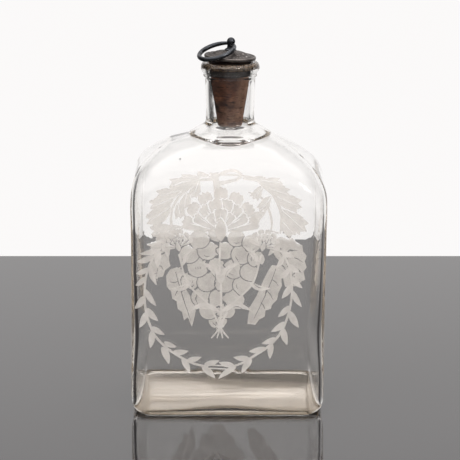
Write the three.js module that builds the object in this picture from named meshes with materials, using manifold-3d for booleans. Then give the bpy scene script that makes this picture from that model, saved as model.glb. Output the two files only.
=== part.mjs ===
// Square-shouldered spirit bottle of blown glass, closed by a tapered cork
// whose pewter cap carries a swinging pull ring.
// Millimetres, +Z up. The origin is the middle of the foot, on the surface
// the bottle stands on. +Y points away from the engraved front.
import * as THREE from "three";
import { mergeVertices } from "three/addons/utils/BufferGeometryUtils.js";
import Module from "manifold-3d";

const wasm = await Module();
wasm.setup();

// ---------------------------------------------------------------- dimensions
// Glass body: half width (X), half depth (Y) and corner radius of the outline
// at a height. One row per ring of the outside skin.
const OUTSIDE = [
  //  z      a     b     r
  [1.9, 26.0, 17.0, 8.0], // underside, drawn up towards the pontil
  [0.0, 39.5, 28.2, 8.0], // inner edge of the flat foot
  [0.0, 47.4, 36.0, 7.0], // outer edge of the flat foot
  [1.1, 50.4, 38.3, 7.6], // heel
  [3.4, 51.8, 39.3, 8.4],
  [7.0, 52.2, 39.5, 8.8],
  [100.0, 53.0, 40.0, 9.2], // straight walls, a little wider at the top
  [109.0, 52.9, 39.9, 9.8], // shoulder begins
  [114.5, 52.5, 39.5, 10.8],
  [119.0, 51.8, 38.9, 12.0],
  [123.8, 50.2, 37.7, 13.2],
  [128.2, 47.9, 35.9, 14.4],
  [132.0, 45.1, 33.8, 15.4],
  [135.8, 41.0, 30.8, 16.2],
  [138.5, 37.4, 28.0, 16.8],
  [141.2, 33.0, 24.6, 17.2],
  [143.6, 27.4, 20.8, 17.0],
  [145.4, 21.5, 17.2, 16.0],
  [146.3, 13.0, 13.0, 13.0],
];
// Round neck: radius at a height, up to the top of the mouth.
const NECK = [
  [147.2, 12.9],
  [152.0, 12.75],
  [160.0, 12.85],
  [170.0, 13.15],
  [176.4, 13.3],
  [183.0, 13.3],
  [183.7, 12.6],
];
const MOUTH = [
  [183.7, 11.9],
  [182.6, 11.6],
  [176.2, 11.5],
  [174.6, 10.75],
  [165.0, 10.6],
  [152.0, 10.2],
  [149.0, 10.1],
];
// Inside skin, from the throat of the neck down to the floor.
const INSIDE = [
  [146.2, 11.4, 11.0, 10.8],
  [143.2, 17.8, 14.4, 12.6],
  [140.2, 26.0, 19.6, 14.2],
  [136.6, 34.4, 25.6, 14.4],
  [131.6, 41.4, 31.0, 13.4],
  [125.6, 46.0, 34.5, 11.6],
  [118.0, 48.8, 36.5, 9.6],
  [109.0, 49.8, 37.1, 8.0],
  [100.0, 49.8, 37.0, 7.2],
  [14.0, 47.6, 35.1, 6.0],
  [9.0, 46.8, 34.3, 5.6],
  [6.6, 44.2, 31.9, 5.0],
  [6.2, 30.0, 20.0, 5.0],
];
const FLOOR_Z = 7.2; // middle of the floor, over the pontil
const UNDERSIDE_Z = 2.6; // middle of the underside
const CORNER_STEPS = 8; // facets in each corner of the outline

// Applied glass rings on the neck.
const COLLAR = { r: 22.0, zTop: 151.4, zEdge: 147.2, zFoot: 146.6, bore: 13.15 };
const LIP = { r: 15.7, zTop: 183.9, zMid: 181.4, zFoot: 176.6, bore: 13.5 };
const GLASS_GAP = 0.15;

// Stopper.
const CORK_TOP_Z = 184.5;
const CORK_FOOT_Z = 147.4;
const FERRULE = { r: 11.2, bore: 10.5, zFoot: 176.9, zTop: 184.7 };
const SPINDLE_R = 1.2;
const SPINDLE_FOOT_Z = 149.7;
const SPINDLE_TOP_Z = 191.7;
const CORK_BORE_R = 1.5;
const RECESS = { r: 4.3, zTop: 152.8 }; // in the foot of the cork
const WASHER = { r: 3.9, zFoot: 151.7, zTop: 152.5 };
const NUT = { across: 5.4, zFoot: 149.8, zTop: 151.4, bore: 1.45 };

// Metal cap, seated a little crooked on the cork.
const CAP_TILT = THREE.MathUtils.degToRad(3.5);
const CAP_Z = 186.05; // middle of its underside
const CAP_R = 13.8;
const CAP_RIM = 1.8; // thickness at the rim
const CAP_CROWN = 4.3; // height of the dome
const EYE_Z = 7.85; // centre of the eye above the underside of the cap
const EYE_R = 1.15;
const BALL = { r: 2.25, z: 9.0 };
const RING_R = 9.65; // centre line of the pull ring
const WIRE_R = 1.15; // its wire, away from the eye
const WIRE_EYE_R = 0.8; // its wire, worn thin in the eye
const RING_YAW = THREE.MathUtils.degToRad(35); // the eye's axis, turned from -Y
const RING_DROP = THREE.MathUtils.degToRad(23.0); // below the plane of the cap

// ------------------------------------------------------------------- helpers
const glass = (name) =>
  new THREE.MeshStandardMaterial({ name, color: 0xe9ecea, roughness: 0.04, metalness: 0 });
const pewter = (name, hex) =>
  new THREE.MeshStandardMaterial({ name, color: hex, roughness: 0.45, metalness: 0.9 });

// A closed band of revolution about Z from [z, r] rows.
function turned(rows, segments) {
  const points = rows.map(([z, r]) => new THREE.Vector2(r, z));
  return new THREE.LatheGeometry(points, segments).rotateX(Math.PI / 2);
}

// The points of a rounded rectangle, anticlockwise from +X, with the same
// number of points whatever its size, so that outlines can be skinned.
function outline(a, b, r) {
  const points = [];
  const corners = [
    [1, 1],
    [-1, 1],
    [-1, -1],
    [1, -1],
  ];
  corners.forEach(([sx, sy], k) => {
    for (let i = 0; i <= CORNER_STEPS; i++) {
      const t = (Math.PI / 2) * (k + i / CORNER_STEPS);
      points.push([sx * (a - r) + r * Math.cos(t), sy * (b - r) + r * Math.sin(t)]);
    }
  });
  return points;
}

// A lathe whose rings are pulled out from circles to rounded rectangles.
// rows are [z, a, b, r]; the first and last lie on the axis.
function skinned(rows) {
  const ring = 4 * (CORNER_STEPS + 1);
  const profile = rows.map(([z, a]) => new THREE.Vector2(Math.max(a, 0), z));
  const geometry = new THREE.LatheGeometry(profile, ring);
  const position = geometry.getAttribute("position");
  rows.forEach(([z, a, b, r], j) => {
    const points = outline(a, b, r);
    for (let i = 0; i <= ring; i++) {
      const [x, y] = points[i % ring];
      position.setXYZ(i * rows.length + j, x, y, z);
    }
  });
  return geometry;
}

function solid(geometry) {
  const g = geometry.clone();
  for (const name of Object.keys(g.attributes)) if (name !== "position") g.deleteAttribute(name);
  const merged = mergeVertices(g, 1e-4);
  return new wasm.Manifold(
    new wasm.Mesh({
      numProp: 3,
      vertProperties: merged.attributes.position.array,
      triVerts: new Uint32Array(merged.index.array),
    }),
  );
}

function geometryOf(made) {
  const mesh = made.getMesh();
  const g = new THREE.BufferGeometry();
  g.setAttribute("position", new THREE.BufferAttribute(new Float32Array(mesh.vertProperties), 3));
  g.setIndex(new THREE.BufferAttribute(new Uint32Array(mesh.triVerts), 1));
  g.computeVertexNormals();
  return g;
}

// Turns a closed surface the right way round if its faces point inwards.
function facingOut(geometry) {
  const g = geometry.index ? geometry.toNonIndexed() : geometry;
  const p = g.getAttribute("position");
  let volume = 0;
  const a = new THREE.Vector3();
  const b = new THREE.Vector3();
  const c = new THREE.Vector3();
  for (let i = 0; i < p.count; i += 3) {
    a.fromBufferAttribute(p, i);
    b.fromBufferAttribute(p, i + 1);
    c.fromBufferAttribute(p, i + 2);
    volume += a.dot(b.cross(c)) / 6;
  }
  if (volume < 0 && geometry.index) {
    const index = geometry.index.array;
    for (let i = 0; i < index.length; i += 3) [index[i + 1], index[i + 2]] = [index[i + 2], index[i + 1]];
  }
  geometry.computeVertexNormals();
  return geometry;
}

function piece(name, geometry, material) {
  const mesh = new THREE.Mesh(facingOut(geometry), material);
  mesh.name = name;
  return mesh;
}

const bottle = new THREE.Group();

// --------------------------------------------------------------- glass bottle
// One blown piece: flat foot with a drawn-up underside, straight walls, round
// shoulders, and a neck whose bore opens into the body.
{
  const round = ([z, r]) => [z, r, r, r];
  const rows = [
    [UNDERSIDE_Z, 0, 0, 0],
    ...OUTSIDE,
    ...NECK.map(round),
    ...MOUTH.map(round),
    ...INSIDE,
    [FLOOR_Z, 0, 0, 0],
  ];
  bottle.add(piece("bottle_body", skinned(rows), glass("body_glass")));
}

// Thick collar laid round the root of the neck: a sloping top and a flat
// underside on the shoulder.
{
  const { r, zTop, zEdge, zFoot, bore } = COLLAR;
  const rows = [
    [zFoot, bore + GLASS_GAP],
    [zFoot, r - 2.2],
    [zFoot + 0.25, r - 0.8],
    [zEdge, r],
    [zEdge + 0.7, r - 0.9],
    [zEdge + 1.9, r - 4.4],
    [zTop - 0.6, bore + 1.6],
    [zTop, bore + GLASS_GAP],
    [zFoot, bore + GLASS_GAP],
  ];
  bottle.add(piece("neck_collar", turned(rows, 36), glass("collar_glass")));
}

// Rolled lip laid round the top of the neck.
{
  const { r, zTop, zMid, zFoot, bore } = LIP;
  const rows = [
    [zFoot, bore],
    [zFoot + 0.9, bore + 0.55],
    [zMid - 2.2, r - 1.2],
    [zMid - 0.9, r - 0.15],
    [zMid + 0.6, r],
    [zTop - 0.8, r - 0.75],
    [zTop, r - 1.9],
    [zTop, bore],
    [zFoot, bore],
  ];
  bottle.add(piece("lip_ring", turned(rows, 36), glass("lip_glass")));
}

// ------------------------------------------------------------------- stopper
const stopper = new THREE.Group();
bottle.add(stopper);

// Tapered cork with a bore for the spindle and a recess for its nut.
{
  const rows = [
    [CORK_FOOT_Z, RECESS.r],
    [CORK_FOOT_Z, 6.3],
    [CORK_FOOT_Z + 0.5, 6.7],
    [152.7, 7.0],
    [158.0, 7.7],
    [163.5, 8.55],
    [168.9, 9.5],
    [174.0, 10.35],
    [FERRULE.zFoot - 0.6, 10.4],
    [FERRULE.zFoot - 0.3, 10.25],
    [CORK_TOP_Z, 10.25],
    [CORK_TOP_Z, CORK_BORE_R],
    [RECESS.zTop, CORK_BORE_R],
    [RECESS.zTop, RECESS.r],
    [CORK_FOOT_Z, RECESS.r],
  ];
  const cork = new THREE.MeshStandardMaterial({ name: "cork", color: 0x6a4330, roughness: 0.9 });
  stopper.add(piece("cork", turned(rows, 32), cork));
}

// Metal band round the head of the cork.
{
  const { r, bore, zFoot, zTop } = FERRULE;
  const rows = [
    [zFoot, bore],
    [zFoot, r - 0.15],
    [zFoot + 0.3, r],
    [zFoot + 1.1, r],
    [zFoot + 1.3, r - 0.2],
    [zTop - 0.2, r - 0.2],
    [zTop, r - 0.4],
    [zTop, bore],
    [zFoot, bore],
  ];
  stopper.add(piece("cork_ferrule", turned(rows, 32), pewter("ferrule_pewter", 0x3b3836)));
}

// Spindle that ties the cap to the cork, with a washer and a square nut let
// into the foot of the cork.
{
  const rows = [
    [SPINDLE_FOOT_Z, 0],
    [SPINDLE_FOOT_Z, SPINDLE_R - 0.3],
    [SPINDLE_FOOT_Z + 0.3, SPINDLE_R],
    [SPINDLE_TOP_Z - 0.3, SPINDLE_R],
    [SPINDLE_TOP_Z, SPINDLE_R - 0.3],
    [SPINDLE_TOP_Z, 0],
  ];
  stopper.add(piece("spindle", turned(rows, 16), pewter("spindle_iron", 0x4a4744)));
  const { r, zFoot, zTop } = WASHER;
  const flat = [
    [zFoot, CORK_BORE_R],
    [zFoot, r - 0.15],
    [zFoot + 0.15, r],
    [zTop, r],
    [zTop, CORK_BORE_R],
    [zFoot, CORK_BORE_R],
  ];
  stopper.add(piece("spindle_washer", turned(flat, 20), pewter("washer_iron", 0x55514d)));

  const half = NUT.across / 2;
  const square = new THREE.Shape([
    new THREE.Vector2(-half, -half),
    new THREE.Vector2(half, -half),
    new THREE.Vector2(half, half),
    new THREE.Vector2(-half, half),
  ]);
  square.holes.push(new THREE.Path().absarc(0, 0, NUT.bore, 0, 2 * Math.PI, true));
  const body = new THREE.ExtrudeGeometry(square, {
    depth: NUT.zTop - NUT.zFoot,
    bevelEnabled: false,
    curveSegments: 8,
  });
  const nut = piece("spindle_nut", body, pewter("nut_iron", 0x55514d));
  nut.position.z = NUT.zFoot;
  stopper.add(nut);
}

// Cap, ring post and pull ring share the cap's crooked seat.
const head = new THREE.Group();
head.position.set(0, 0, CAP_Z);
head.rotation.y = CAP_TILT;
stopper.add(head);

// Domed medallion with a raised rim, hollow underneath.
{
  const rows = [
    [0.0, 11.9],
    [0.0, CAP_R - 0.3],
    [0.35, CAP_R],
    [CAP_RIM - 0.35, CAP_R],
    [CAP_RIM, CAP_R - 0.35],
    [CAP_RIM, CAP_R - 1.0],
    [CAP_RIM - 0.25, CAP_R - 1.4],
    [CAP_RIM + 0.35, 10.2],
    [CAP_RIM + 1.35, 7.2],
    [CAP_CROWN - 0.45, 4.4],
    [CAP_CROWN, 3.4],
    [CAP_CROWN, 2.1],
    [CAP_CROWN - 1.2, 2.1],
    [CAP_RIM + 0.6, 5.6],
    [0.85, 9.6],
    [0.45, 11.4],
    [0.0, 11.9],
  ];
  head.add(piece("cap_medallion", turned(rows, 36), pewter("cap_pewter", 0x6e6661)));
}

// Post with a cross-drilled eye under its ball, socketed over the spindle.
const eyeAxis = new THREE.Vector3(Math.sin(RING_YAW), -Math.cos(RING_YAW), 0);
{
  const base = CAP_CROWN + 0.2;
  const socket = 1.8;
  const rows = [
    [base, socket],
    [base, 3.1],
    [base + 0.5, 3.0],
    [base + 0.9, 2.2],
    [base + 1.5, 1.95],
    [EYE_Z - 0.3, 1.95],
  ];
  const start = Math.asin(1.95 / BALL.r);
  for (let i = 0; i < 7; i++) {
    const t = Math.PI - start + (start - Math.PI) * (i / 7);
    rows.push([BALL.z + BALL.r * Math.cos(t), BALL.r * Math.sin(t)]);
  }
  rows.push([BALL.z + BALL.r, 0]);
  const closed = [[6.1, 0], [6.1, socket], ...rows];
  const post = solid(facingOut(turned(closed, 24)));
  const drill = new THREE.CylinderGeometry(EYE_R, EYE_R, 8, 16);
  drill.applyQuaternion(
    new THREE.Quaternion().setFromUnitVectors(new THREE.Vector3(0, 1, 0), eyeAxis),
  );
  drill.translate(0, 0, EYE_Z);
  head.add(piece("ring_post", geometryOf(post.subtract(solid(drill))), pewter("post_pewter", 0x34363a)));
}

// Pull ring through the eye, thinned where it bears, lying over the rim.
{
  const ring = new THREE.TorusGeometry(RING_R, WIRE_R, 10, 48);
  const p = ring.getAttribute("position");
  const at = new THREE.Vector3();
  const middle = new THREE.Vector3();
  for (let i = 0; i < p.count; i++) {
    at.fromBufferAttribute(p, i);
    const angle = Math.atan2(at.y, at.x);
    const wire = WIRE_R - (WIRE_R - WIRE_EYE_R) * Math.exp(-((angle / 0.6) ** 2));
    middle.set(Math.cos(angle), Math.sin(angle), 0).multiplyScalar(RING_R);
    at.sub(middle).multiplyScalar(wire / WIRE_R).add(middle);
    p.setXYZ(i, at.x, at.y, at.z);
  }
  const lean = new THREE.Vector3(
    -Math.cos(RING_YAW) * Math.cos(RING_DROP),
    -Math.sin(RING_YAW) * Math.cos(RING_DROP),
    -Math.sin(RING_DROP),
  );
  const pull = piece("pull_ring", ring, pewter("ring_pewter", 0x303236));
  const back = lean.clone().negate();
  const basis = new THREE.Matrix4().makeBasis(back, eyeAxis, back.clone().cross(eyeAxis));
  pull.quaternion.setFromRotationMatrix(basis);
  pull.position.set(0, 0, EYE_Z).addScaledVector(lean, RING_R);
  head.add(pull);
}

export default bottle;
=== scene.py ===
import math

import bmesh
import bpy
import numpy as np
from mathutils import Matrix, Vector, geometry, kdtree, noise


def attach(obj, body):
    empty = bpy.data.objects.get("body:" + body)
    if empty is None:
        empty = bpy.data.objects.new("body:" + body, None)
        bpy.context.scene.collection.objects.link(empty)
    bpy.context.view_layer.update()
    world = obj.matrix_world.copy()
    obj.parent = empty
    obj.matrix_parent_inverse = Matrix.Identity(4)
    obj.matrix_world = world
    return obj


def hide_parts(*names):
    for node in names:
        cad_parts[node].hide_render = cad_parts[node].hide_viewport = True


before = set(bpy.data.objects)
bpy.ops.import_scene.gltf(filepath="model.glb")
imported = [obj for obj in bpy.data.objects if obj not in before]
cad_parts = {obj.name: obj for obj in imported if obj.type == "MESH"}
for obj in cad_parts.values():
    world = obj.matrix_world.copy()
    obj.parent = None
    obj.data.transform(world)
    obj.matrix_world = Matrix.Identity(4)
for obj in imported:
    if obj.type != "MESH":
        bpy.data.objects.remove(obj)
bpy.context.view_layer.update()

MM = 0.001
scene = bpy.context.scene
scene.view_settings.view_transform = "Standard"
scene.view_settings.look = "None"
# light runs far inside thick glass
scene.cycles.max_bounces = 96
scene.cycles.glossy_bounces = 96
scene.cycles.transmission_bounces = 96
scene.cycles.transparent_max_bounces = 32

# ------------------------------------------------------------------ the camera
PITCH = math.radians(12.4855)
EYE = np.array([0.0, -1500.0, 424.58])  # millimetres
FOCAL = 2850.0  # in pixels of the 460 x 460 frame
cam = bpy.data.cameras.new("camera")
cam.sensor_width = 36.0
cam.lens = 36.0 * FOCAL / 460.0
cam.clip_start = 0.05
cam.clip_end = 50.0
camera = bpy.data.objects.new("camera", cam)
camera.location = EYE * MM
camera.rotation_euler = (math.radians(90.0) - PITCH, 0.0, 0.0)
scene.collection.objects.link(camera)
scene.camera = camera


def on_plane(px, py, y):
    """Where the line of sight through a pixel meets the upright plane at depth y: (x, z) in millimetres."""
    u, v = (px - 230.0) / FOCAL, (py - 230.0) / FOCAL
    d = np.array([u, math.cos(PITCH) - v * math.sin(PITCH), -math.sin(PITCH) - v * math.cos(PITCH)])
    t = (y - EYE[1]) / d[1]
    p = EYE + t * d
    return np.array([p[0], p[2]])


# -------------------------------------------------------------------- materials
def new_material(name):
    m = bpy.data.materials.new(name)
    m.use_nodes = True
    nt = m.node_tree
    nt.nodes.clear()
    out = nt.nodes.new("ShaderNodeOutputMaterial")
    return m, nt, out


def node(nt, kind, **values):
    n = nt.nodes.new(kind)
    for key, value in values.items():
        if key in n.inputs:
            n.inputs[key].default_value = value
        else:
            setattr(n, key, value)
    return n


def ramp(nt, source, stops):
    n = nt.nodes.new("ShaderNodeValToRGB")
    e = n.color_ramp.elements
    while len(e) < len(stops):
        e.new(0.5)
    for k, (pos, colour) in enumerate(stops):
        e[k].position = pos
        e[k].color = (*colour, 1.0)
    nt.links.new(source, n.inputs["Fac"])
    return n.outputs["Color"]


def bump(nt, height, strength, distance, normal=None):
    b = nt.nodes.new("ShaderNodeBump")
    b.inputs["Strength"].default_value = strength
    b.inputs["Distance"].default_value = distance
    nt.links.new(height, b.inputs["Height"])
    if normal is not None:
        nt.links.new(normal, b.inputs["Normal"])
    return b.outputs["Normal"]


def object_coords(nt):
    return nt.nodes.new("ShaderNodeTexCoord").outputs["Object"]


def noise_tex(nt, coords, scale, detail=4.0, rough=0.55, distortion=0.0):
    n = nt.nodes.new("ShaderNodeTexNoise")
    n.inputs["Scale"].default_value = scale
    n.inputs["Detail"].default_value = detail
    n.inputs["Roughness"].default_value = rough
    n.inputs["Distortion"].default_value = distortion
    nt.links.new(coords, n.inputs["Vector"])
    return n.outputs["Fac"]


def glass_material():
    m, nt, out = new_material("blown_glass")
    p = node(nt, "ShaderNodeBsdfPrincipled")
    p.inputs["Base Color"].default_value = (0.992, 0.989, 0.984, 1.0)
    p.inputs["IOR"].default_value = 1.5
    p.inputs["Transmission Weight"].default_value = 1.0
    c = object_coords(nt)
    # the blown walls ripple, and the foot is smooth
    ripples = noise_tex(nt, c, 55.0, 2.0, 0.4)
    height = node(nt, "ShaderNodeSeparateXYZ")
    nt.links.new(c, height.inputs["Vector"])
    share = node(nt, "ShaderNodeMapRange", interpolation_type="SMOOTHSTEP")
    share.inputs["From Min"].default_value = 0.004
    share.inputs["From Max"].default_value = 0.02
    nt.links.new(height.outputs["Z"], share.inputs["Value"])
    swell = node(nt, "ShaderNodeMath", operation="MULTIPLY")
    nt.links.new(ripples, swell.inputs[0])
    nt.links.new(share.outputs["Result"], swell.inputs[1])
    nt.links.new(bump(nt, swell.outputs["Value"], 0.05, 0.001), p.inputs["Normal"])
    # the underside is dulled by use
    wear_and_light = node(nt, "ShaderNodeMapRange")
    wear_and_light.inputs["From Min"].default_value = 0.0003
    wear_and_light.inputs["From Max"].default_value = 0.0005
    wear_and_light.inputs["To Max"].default_value = 0.0
    nt.links.new(height.outputs["Z"], wear_and_light.inputs["Value"])
    patches = node(nt, "ShaderNodeMapRange", interpolation_type="SMOOTHSTEP")
    patches.inputs["From Min"].default_value = 0.35
    patches.inputs["From Max"].default_value = 0.65
    patches.inputs["To Min"].default_value = 0.03
    patches.inputs["To Max"].default_value = 0.08
    nt.links.new(noise_tex(nt, c, 38.0, 2.0, 0.4), patches.inputs["Value"])
    nt.links.new(patches.outputs["Result"], wear_and_light.inputs["To Min"])
    nt.links.new(wear_and_light.outputs["Result"], p.inputs["Roughness"])
    v = node(nt, "ShaderNodeVolumeAbsorption")
    v.inputs["Color"].default_value = (0.96, 0.9, 0.81, 1.0)
    v.inputs["Density"].default_value = 9.0
    nt.links.new(p.outputs["BSDF"], out.inputs["Surface"])
    nt.links.new(v.outputs["Volume"], out.inputs["Volume"])
    return m


def frost_material(name, clear, forward):
    """Ground glass: scatters most of the light both ways and lets the rest straight through."""
    m, nt, out = new_material(name)
    c = object_coords(nt)
    streak = node(nt, "ShaderNodeMapping")
    streak.inputs["Rotation"].default_value = (0.0, 0.6, 0.0)
    streak.inputs["Scale"].default_value = (1.0, 1.0, 4.0)
    nt.links.new(c, streak.inputs["Vector"])
    grain = noise_tex(nt, streak.outputs["Vector"], 900.0, 3.0, 0.6)
    cloud = noise_tex(nt, c, 160.0, 3.0, 0.5)
    mixed = node(nt, "ShaderNodeMath", operation="ADD")
    nt.links.new(grain, mixed.inputs[0])
    nt.links.new(cloud, mixed.inputs[1])
    colour = ramp(nt, cloud, [(0.3, (0.87, 0.835, 0.8)), (0.7, (0.95, 0.922, 0.89))])
    diffuse = node(nt, "ShaderNodeBsdfDiffuse")
    diffuse.inputs["Roughness"].default_value = 0.6
    trans = node(nt, "ShaderNodeBsdfTranslucent")
    nt.links.new(colour, diffuse.inputs["Color"])
    nt.links.new(colour, trans.inputs["Color"])
    body = node(nt, "ShaderNodeMixShader")
    body.inputs["Fac"].default_value = forward
    nt.links.new(diffuse.outputs["BSDF"], body.inputs[1])
    nt.links.new(trans.outputs["BSDF"], body.inputs[2])
    see = node(nt, "ShaderNodeBsdfTransparent")
    share = node(nt, "ShaderNodeMapRange")
    share.inputs["From Min"].default_value = 0.7
    share.inputs["From Max"].default_value = 1.3
    share.inputs["To Min"].default_value = clear + 0.09
    share.inputs["To Max"].default_value = clear - 0.09
    nt.links.new(mixed.outputs["Value"], share.inputs["Value"])
    final = node(nt, "ShaderNodeMixShader")
    nt.links.new(share.outputs["Result"], final.inputs["Fac"])
    nt.links.new(body.outputs["Shader"], final.inputs[1])
    nt.links.new(see.outputs["BSDF"], final.inputs[2])
    nt.links.new(final.outputs["Shader"], out.inputs["Surface"])
    return m


def cork_material():
    m, nt, out = new_material("aged_cork")
    p = node(nt, "ShaderNodeBsdfPrincipled")
    c = object_coords(nt)
    big = noise_tex(nt, c, 90.0, 5.0, 0.6, 0.6)
    shaded_top = ramp(
        nt,
        big,
        [(0.28, (0.02, 0.008, 0.005)), (0.45, (0.075, 0.026, 0.014)), (0.58, (0.21, 0.075, 0.034)), (0.72, (0.44, 0.17, 0.075))],
    )
    foot = ramp(
        nt,
        big,
        [(0.28, (0.08, 0.042, 0.026)), (0.45, (0.24, 0.125, 0.08)), (0.58, (0.43, 0.25, 0.165)), (0.72, (0.6, 0.39, 0.27))],
    )
    # painted shade: dark and red towards the top, in the shade under the band, paler towards the foot
    sep = nt.nodes.new("ShaderNodeSeparateXYZ")
    nt.links.new(c, sep.inputs["Vector"])
    drift = node(nt, "ShaderNodeMath", operation="MULTIPLY_ADD")
    drift.inputs[1].default_value = 0.014
    nt.links.new(noise_tex(nt, c, 120.0, 3.0, 0.6), drift.inputs[0])
    nt.links.new(sep.outputs["Z"], drift.inputs[2])
    height = node(nt, "ShaderNodeMapRange", interpolation_type="SMOOTHSTEP")
    height.inputs["From Min"].default_value = 0.155
    height.inputs["From Max"].default_value = 0.176
    nt.links.new(drift.outputs["Value"], height.inputs["Value"])
    base = node(nt, "ShaderNodeMix", data_type="RGBA", blend_type="MIX")
    nt.links.new(height.outputs["Result"], base.inputs["Factor"])
    nt.links.new(foot, base.inputs[6])
    nt.links.new(shaded_top, base.inputs[7])
    lit_side = ramp(
        nt,
        big,
        [(0.28, (0.16, 0.075, 0.045)), (0.45, (0.36, 0.18, 0.11)), (0.58, (0.55, 0.32, 0.215)), (0.72, (0.68, 0.46, 0.34))],
    )
    # painted light: the right side of the cork is paler, as if lit from the right
    side = node(nt, "ShaderNodeMapRange", interpolation_type="SMOOTHSTEP")
    side.inputs["From Min"].default_value = 0.0015
    side.inputs["From Max"].default_value = 0.0085
    side.inputs["To Max"].default_value = 0.95
    nt.links.new(sep.outputs["X"], side.inputs["Value"])
    wear_and_light = node(nt, "ShaderNodeMix", data_type="RGBA", blend_type="MIX")
    nt.links.new(side.outputs["Result"], wear_and_light.inputs["Factor"])
    nt.links.new(base.outputs[2], wear_and_light.inputs[6])
    nt.links.new(lit_side, wear_and_light.inputs[7])
    # dark lenticels that run across the cork
    flat = node(nt, "ShaderNodeMapping")
    flat.inputs["Scale"].default_value = (1.0, 1.0, 4.5)
    nt.links.new(c, flat.inputs["Vector"])
    pits = noise_tex(nt, flat.outputs["Vector"], 260.0, 3.0, 0.6)
    dark = ramp(nt, pits, [(0.34, (0.12, 0.1, 0.09)), (0.46, (1.0, 1.0, 1.0))])
    mix = node(nt, "ShaderNodeMix", data_type="RGBA", blend_type="MULTIPLY")
    mix.inputs["Factor"].default_value = 0.85
    nt.links.new(wear_and_light.outputs[2], mix.inputs[6])
    nt.links.new(dark, mix.inputs[7])
    nt.links.new(mix.outputs[2], p.inputs["Base Color"])
    p.inputs["Roughness"].default_value = 0.82
    fine = noise_tex(nt, c, 1400.0, 3.0, 0.6)
    n1 = bump(nt, pits, 0.5, 0.0006)
    nt.links.new(bump(nt, fine, 0.35, 0.0002, n1), p.inputs["Normal"])
    nt.links.new(p.outputs["BSDF"], out.inputs["Surface"])
    return m


def metal_material(name, dark, light, rough_low, rough_high, scale, wear_and_light=None, metallic=0.9):
    m, nt, out = new_material(name)
    p = node(nt, "ShaderNodeBsdfPrincipled")
    c = object_coords(nt)
    patina = noise_tex(nt, c, scale, 6.0, 0.62, 0.3)
    colour = ramp(nt, patina, [(0.36, dark), (0.64, light)])
    if wear_and_light is not None:
        # painted shade and highlight: pointiness darkens hollows and flats as painted shade, and lightens convex edges,
        # partly rubbed wear and partly a painted highlight
        geo = nt.nodes.new("ShaderNodeNewGeometry")
        edge = ramp(nt, geo.outputs["Pointiness"], [(0.47, (0.25, 0.25, 0.25)), (0.5, (0.5, 0.5, 0.5)), (0.55, (1.0, 1.0, 1.0))])
        mix = node(nt, "ShaderNodeMix", data_type="RGBA", blend_type="MIX")
        edge_fac = node(nt, "ShaderNodeMapRange")
        edge_fac.inputs["From Min"].default_value = 0.505
        edge_fac.inputs["From Max"].default_value = 0.56
        nt.links.new(geo.outputs["Pointiness"], edge_fac.inputs["Value"])
        nt.links.new(edge_fac.outputs["Result"], mix.inputs["Factor"])
        nt.links.new(colour, mix.inputs[6])
        mix.inputs[7].default_value = (*wear_and_light, 1.0)
        shade = node(nt, "ShaderNodeMix", data_type="RGBA", blend_type="MULTIPLY")
        shade.inputs["Factor"].default_value = 0.6
        nt.links.new(mix.outputs[2], shade.inputs[6])
        nt.links.new(edge, shade.inputs[7])
        colour = shade.outputs[2]
    nt.links.new(colour, p.inputs["Base Color"])
    p.inputs["Metallic"].default_value = metallic
    r = node(nt, "ShaderNodeMapRange")
    r.inputs["To Min"].default_value = rough_low
    r.inputs["To Max"].default_value = rough_high
    nt.links.new(noise_tex(nt, c, scale * 2.3, 4.0, 0.6), r.inputs["Value"])
    nt.links.new(r.outputs["Result"], p.inputs["Roughness"])
    dents = noise_tex(nt, c, scale * 3.0, 4.0, 0.6)
    grain = noise_tex(nt, c, 3000.0, 2.0, 0.5)
    n1 = bump(nt, dents, 0.35, 0.0004)
    nt.links.new(bump(nt, grain, 0.12, 0.0001, n1), p.inputs["Normal"])
    nt.links.new(p.outputs["BSDF"], out.inputs["Surface"])
    return m


def floor_material():
    m, nt, out = new_material("floor")
    p = node(nt, "ShaderNodeBsdfPrincipled")
    c = object_coords(nt)
    tone = noise_tex(nt, c, 3.0, 2.0, 0.5)
    nt.links.new(ramp(nt, tone, [(0.3, (0.013, 0.012, 0.0125)), (0.7, (0.017, 0.0155, 0.0165))]), p.inputs["Base Color"])
    r = node(nt, "ShaderNodeMapRange")
    r.inputs["To Min"].default_value = 0.04
    r.inputs["To Max"].default_value = 0.07
    nt.links.new(noise_tex(nt, c, 40.0, 3.0, 0.5), r.inputs["Value"])
    nt.links.new(r.outputs["Result"], p.inputs["Roughness"])
    p.inputs["IOR"].default_value = 1.42
    nt.links.new(p.outputs["BSDF"], out.inputs["Surface"])
    return m


GLASS = glass_material()
FROST_FRONT = frost_material("ground_glass_front", 0.47, 0.4)
FROST_BACK = frost_material("ground_glass_back", 0.5, 0.7)
CORK = cork_material()


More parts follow.
